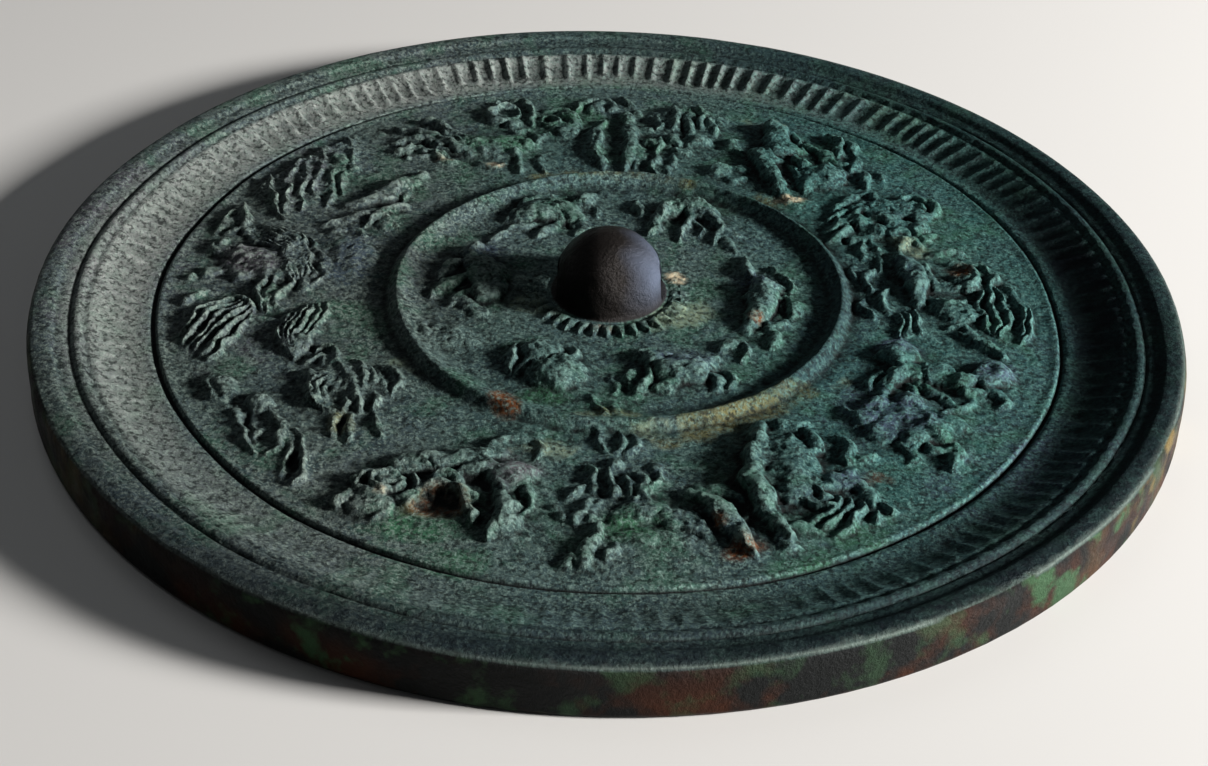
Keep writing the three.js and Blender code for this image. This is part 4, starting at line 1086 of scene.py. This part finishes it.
def add_colour_places(mirror):
    """Point attributes for the bronze: how far each place is crevice, worn, wall, knob, the knob's right
    side with its painted bluish highlight, face, black, with painted shadow on the right of the rim's hollow
    and the ridge, a silvery painted highlight, or arris with its painted highlight, how grey its green is,
    and how strong each colour is."""
    mesh = mirror.data
    count = len(mesh.vertices)
    place_of = np.empty(3 * count, np.float32)
    mesh.vertices.foreach_get("co", place_of)
    x, y, z = place_of.reshape(-1, 3).T / MM
    radius = np.hypot(x, y)
    angle = np.arctan2(y, x)
    near = blurred(back_height, 0.8)
    wide = blurred(back_height, 2.6)
    on_back = (radius <= BACK_TONE_R) & (z > 3.5) & ~((radius < KNOB_FOOT_R) & (z > 5.6))
    on_wall = (radius > BACK_TONE_R) & (z > 0.05)
    in_fields = np.clip((84.5 - radius) / 1.5, 0, 1)
    on_ridge = np.exp(-((radius - ridge_crest(angle)) / 3.5) ** 2)
    sunk = sampled(near, x, y) * 0.5 + sampled(wide, x, y) * 0.5 - z
    black_and_shade, silver_highlight = rim_tones(radius, angle)
    # painted shadow: black on the right of the ridge, whose inner slope there faces away from the light
    black_and_shade = np.maximum(black_and_shade, 0.6 * on_ridge * bump(angle, -15, 55))
    arris_highlight = np.exp(-((radius - BACK_TONE_R) / 0.45) ** 2) * (z > 9)
    values = {
        "crevice": np.clip(sunk / 0.9, 0, 1) * on_back,
        "worn": np.clip(-sunk / 0.9, 0, 1) * on_back * in_fields * (1 - on_ridge),
        "wall": on_wall.astype(float),
        "knob": ((radius < KNOB_FOOT_R) & (z > 5.2)).astype(float),
        # painted highlight: bluish on the knob's right side, towards the light
        "knob_highlight": np.clip(x / 8 + 0.12 * np.sin(0.9 * y) - 0.25, 0, 1) * np.clip(z / 6 - 0.8, 0, 1),
        "face": (z < 0.05).astype(float),
        "black_and_shade": black_and_shade * on_back,
        "silver_highlight": silver_highlight * on_back,
        # painted highlight along the near right of the arris; elsewhere a little paleness as wear
        "arris_highlight": arris_highlight * (0.15 + 0.85 * bump(angle, -58, 40)),
        "wall_brown": np.clip(1.1 - z / 9 + 0.5 * bump(angle, -60, 30), 0.15, 1) * on_wall,
        "wall_green": (0.45 + 0.9 * bump(angle, -45, 9) + 0.7 * bump(angle, -110, 14)) * on_wall,
        "wall_ochre": (1.1 * bump(angle, -27, 11) + 0.4 * bump(angle, -150, 20)) * on_wall,
        "grey": np.clip(0.5 - 0.008 * x + 0.12 * np.sin(0.07 * y + 1) + 0.1 * np.sin(0.11 * x), 0, 1),
    }
    for name in PATCHES:
        values[name] = patch_strength(name, x, y) * on_back
    for name, value in values.items():
        attribute = mesh.attributes.new(name, "FLOAT", "POINT")
        attribute.data.foreach_set("value", value.astype(np.float32))


add_colour_places(mirror)


# ---------------------------------------------------------------- the bronze

class Finish:
    """A material being built: each call adds a node or two and gives back the socket it ends in."""

    def __init__(self, name):
        self.material = bpy.data.materials.new(name)
        self.material.use_nodes = True
        self.nodes = self.material.node_tree.nodes
        self.links = self.material.node_tree.links
        self.shader = self.nodes["Principled BSDF"]
        self.places = self.nodes.new("ShaderNodeTexCoord").outputs["Object"]

    def put(self, socket, value):
        """Puts a number or colour on a socket, or joins another socket to it."""
        if isinstance(value, bpy.types.NodeSocket):
            self.links.new(value, socket)
        else:
            socket.default_value = value

    def spots(self, per_metre, low, high, detail=4, roughness=0.6):
        """Noise that runs from 0 to 1 between its values low and high."""
        node = self.nodes.new("ShaderNodeTexNoise")
        self.links.new(self.places, node.inputs["Vector"])
        node.inputs["Scale"].default_value = per_metre
        node.inputs["Detail"].default_value = detail
        node.inputs["Roughness"].default_value = roughness
        return self.ranged(node.outputs["Fac"], low, high)

    def ranged(self, value, low, high, to_low=0.0, to_high=1.0):
        """A value moved from the range low to high into the range to_low to to_high."""
        node = self.nodes.new("ShaderNodeMapRange")
        self.put(node.inputs["Value"], value)
        for name, number in zip(("From Min", "From Max", "To Min", "To Max"), (low, high, to_low, to_high)):
            node.inputs[name].default_value = number
        return node.outputs["Result"]

    def amount(self, name):
        """A point attribute of the mesh."""
        node = self.nodes.new("ShaderNodeAttribute")
        node.attribute_name = name
        return node.outputs["Fac"]

    def arithmetic(self, operation, a, b):
        """Two values put together by an operation, the result held between 0 and 1."""
        node = self.nodes.new("ShaderNodeMath")
        node.operation = operation
        node.use_clamp = True
        self.put(node.inputs[0], a)
        self.put(node.inputs[1], b)
        return node.outputs[0]

    def times(self, a, b):
        """One value times another, as arithmetic holds it."""
        return self.arithmetic("MULTIPLY", a, b)

    def over(self, below, above, share):
        """One colour over another, as far as share says."""
        node = self.nodes.new("ShaderNodeMix")
        node.data_type = "RGBA"
        factor, a, b = (node.inputs[i] for i in (0, 6, 7))   # its colour sockets share names with others
        self.put(factor, share)
        self.put(a, below)
        self.put(b, above)
        return node.outputs[2]


def rgb(red, green, blue):
    """An opaque colour, as a shader socket takes it."""
    return (red, green, blue, 1.0)


TEAL = rgb(0.025, 0.088, 0.080)
DEEP = rgb(0.010, 0.027, 0.026)
GREY = rgb(0.078, 0.100, 0.096)
SLATE = rgb(0.042, 0.062, 0.095)
PLUM = rgb(0.085, 0.080, 0.092)
# worn high places, and the painted highlight on the near right arris
WORN_AND_HIGHLIGHT = rgb(0.215, 0.270, 0.235)
WORN_TEAL = rgb(0.110, 0.240, 0.215)
RUST = rgb(0.130, 0.045, 0.014)
OCHRE = rgb(0.160, 0.150, 0.060)
GREEN = rgb(0.034, 0.112, 0.060)
CHALK = rgb(0.550, 0.450, 0.300)
CREVICE = rgb(0.004, 0.006, 0.006)
# painted highlight: silver for the left of the rim
SILVER_HIGHLIGHT = rgb(0.280, 0.300, 0.280)
# black for the lip and ledge, and painted shadow on the right of the hollow and the ridge
BLACK_AND_SHADE = rgb(0.004, 0.007, 0.010)
WALL_BROWN = rgb(0.040, 0.014, 0.007)
WALL_GREEN = rgb(0.028, 0.065, 0.030)
WALL_OCHRE = rgb(0.110, 0.080, 0.030)
WALL_BLACK = rgb(0.007, 0.008, 0.008)
KNOB_BROWN = rgb(0.013, 0.011, 0.010)
# painted highlight: bluish for the knob's right side
KNOB_HIGHLIGHT = rgb(0.072, 0.088, 0.125)
PALE = rgb(0.240, 0.300, 0.200)
FACE_GREY = rgb(0.120, 0.130, 0.125)


def bronze():
    """Corroded bronze: greens broken up by noise, then each colour where its attribute says, then painted
    shadow and painted highlights on the rim, ridge, arris and knob, wear on the high places, and near black
    in the crevices."""
    finish = Finish("bronze_patina")
    crumbs = finish.spots(1500, 0.46, 0.62, detail=3, roughness=0.7)
    fine = finish.spots(620, 0.38, 0.64, detail=4, roughness=0.65)
    middle = finish.spots(170, 0.38, 0.62)
    broad = finish.spots(34, 0.38, 0.62)
    colour = finish.over(TEAL, GREY, finish.amount("grey"))
    colour = finish.over(colour, DEEP, finish.times(middle, 0.68))
    colour = finish.over(colour, SLATE, finish.times(broad, 0.3))
    colour = finish.over(colour, GREEN, finish.times(finish.spots(90, 0.5, 0.62), 0.45))
    for name, shade in (("slate", SLATE), ("plum", PLUM), ("green", GREEN), ("ochre", OCHRE), ("rust", RUST),
                        ("pale", PALE), ("chalk", CHALK)):
        there = finish.arithmetic("ADD", finish.amount(name), finish.times(middle, 0.35))
        colour = finish.over(colour, shade, finish.ranged(there, 0.45, 0.95))
    # painted highlight: silvery on the left of the rim
    silver_highlight_share = finish.times(finish.amount("silver_highlight"), finish.ranged(fine, 0, 1, 0.55, 1))
    colour = finish.over(colour, SILVER_HIGHLIGHT, silver_highlight_share)
    pale = finish.over(WORN_TEAL, WORN_AND_HIGHLIGHT, finish.amount("grey"))
    high_places = finish.ranged(finish.amount("worn"), 0.2, 1.0)
    wear = finish.times(high_places, finish.ranged(fine, 0, 1, 0.1, 0.9))
    colour = finish.over(colour, pale, wear)
    colour = finish.over(colour, pale, finish.times(crumbs, 0.62))
    specks = finish.spots(980, 0.5, 0.62, detail=3)
    colour = finish.over(colour, CREVICE, finish.times(specks, 0.75))
    # black on the lip and ledge, and painted shadow on the right of the hollow and the ridge
    black_and_shade_share = finish.times(finish.amount("black_and_shade"), finish.ranged(middle, 0, 1, 1, 0.8))
    colour = finish.over(colour, BLACK_AND_SHADE, black_and_shade_share)
    # near black in the hollows, where the surface lies below its blurred surroundings
    colour = finish.over(colour, CREVICE, finish.ranged(finish.amount("crevice"), 0.06, 0.55))
    # painted highlight on the near right arris, a little paleness elsewhere
    colour = finish.over(colour, WORN_AND_HIGHLIGHT, finish.times(finish.amount("arris_highlight"), 0.6))
    wall = WALL_BLACK
    for name, shade, per_metre, low, high, detail in (("wall_brown", WALL_BROWN, 70, 0.44, 0.58, 6),
                                                      ("wall_green", WALL_GREEN, 110, 0.50, 0.60, 5),
                                                      ("wall_ochre", WALL_OCHRE, 90, 0.48, 0.60, 6)):
        spots = finish.spots(per_metre, low, high, detail=detail)
        wall = finish.over(wall, shade, finish.times(spots, finish.amount(name)))
    colour = finish.over(colour, wall, finish.amount("wall"))
    # painted highlight: bluish on the knob's right side
    knob = finish.over(KNOB_BROWN, KNOB_HIGHLIGHT, finish.amount("knob_highlight"))
    colour = finish.over(colour, knob, finish.amount("knob"))
    face = finish.times(finish.amount("face"), finish.ranged(middle, 0, 1, 0.5, 1))
    colour = finish.over(colour, FACE_GREY, face)
    finish.put(finish.shader.inputs["Base Color"], colour)
    finish.shader.inputs["Metallic"].default_value = 0.3
    finish.shader.inputs["Specular IOR Level"].default_value = 0.1
    smooth = finish.ranged(finish.amount("knob"), 0, 1, 0, 0.14)
    roughness = finish.arithmetic("SUBTRACT", finish.ranged(middle, 0, 1, 0.44, 0.62), smooth)
    finish.put(finish.shader.inputs["Roughness"], roughness)
    pits = finish.nodes.new("ShaderNodeBump")
    pits.inputs["Strength"].default_value = 0.6
    pits.inputs["Distance"].default_value = 0.0006
    finish.put(pits.inputs["Height"], finish.spots(1100, 0.2, 0.8, detail=6, roughness=0.7))
    finish.put(finish.shader.inputs["Normal"], pits.outputs["Normal"])
    return finish.material


mirror.data.materials.append(bronze())
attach(mirror, "root")
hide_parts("mirror")


# ---------------------------------------------------------------- floor, lights and camera

def make_floor():
    """A plain pale floor."""
    bpy.ops.mesh.primitive_plane_add(size=6, location=(0, 0, 0))
    floor = bpy.context.object
    floor.name = "floor"
    paint = bpy.data.materials.new("pale_floor")
    paint.use_nodes = True
    paint.node_tree.nodes["Principled BSDF"].inputs["Base Color"].default_value = rgb(0.62, 0.61, 0.59)
    paint.node_tree.nodes["Principled BSDF"].inputs["Roughness"].default_value = 0.8
    floor.data.materials.append(paint)


def lamp(name, azimuth, elevation, distance, size, watts, colour=(1, 1, 1)):
    """A square soft light aimed at the mirror. Azimuth 0 is +X, and 90 the far side."""
    data = bpy.data.lights.new(name, "AREA")
    data.size = size
    data.energy = watts
    data.color = colour
    light = bpy.data.objects.new(name, data)
    a, e = math.radians(azimuth), math.radians(elevation)
    towards = Vector((math.cos(a) * math.cos(e), math.sin(a) * math.cos(e), math.sin(e)))
    light.location = towards * distance
    light.rotation_euler = towards.to_track_quat("Z", "Y").to_euler()
    bpy.context.scene.collection.objects.link(light)


def make_camera():
    """Looks down on the mirror from its near side, a little rolled."""
    rise, pitch, yaw, roll = (math.radians(v) for v in (33.51, -2.18, -0.05, 2.0))
    data = bpy.data.cameras.new("camera")
    data.sensor_width = 36
    data.lens = 55.34
    camera = bpy.data.objects.new("camera", data)
    away = 3.377 * ARRIS_R * MM
    place_at = Matrix.Translation((0, -away * math.cos(rise), away * math.sin(rise)))
    aim = Matrix.Rotation(math.pi / 2 - rise, 4, "X") @ Matrix.Rotation(-yaw, 4, "Y")
    camera.matrix_world = place_at @ aim @ Matrix.Rotation(pitch, 4, "X") @ Matrix.Rotation(roll, 4, "Z")
    bpy.context.scene.collection.objects.link(camera)
    bpy.context.scene.camera = camera


make_floor()
lamp("key", -9, 18, 1.2, 0.2, 49, (1, 0.98, 0.96))
lamp("sky_soft", 130, 55, 1.6, 1.0, 2.4, (0.92, 0.96, 1))
make_camera()

world = bpy.data.worlds.new("room")
world.use_nodes = True
world.node_tree.nodes["Background"].inputs["Color"].default_value = rgb(0.9, 0.95, 1)
world.node_tree.nodes["Background"].inputs["Strength"].default_value = 0.03
bpy.context.scene.world = world
bpy.context.scene.view_settings.view_transform = "Standard"
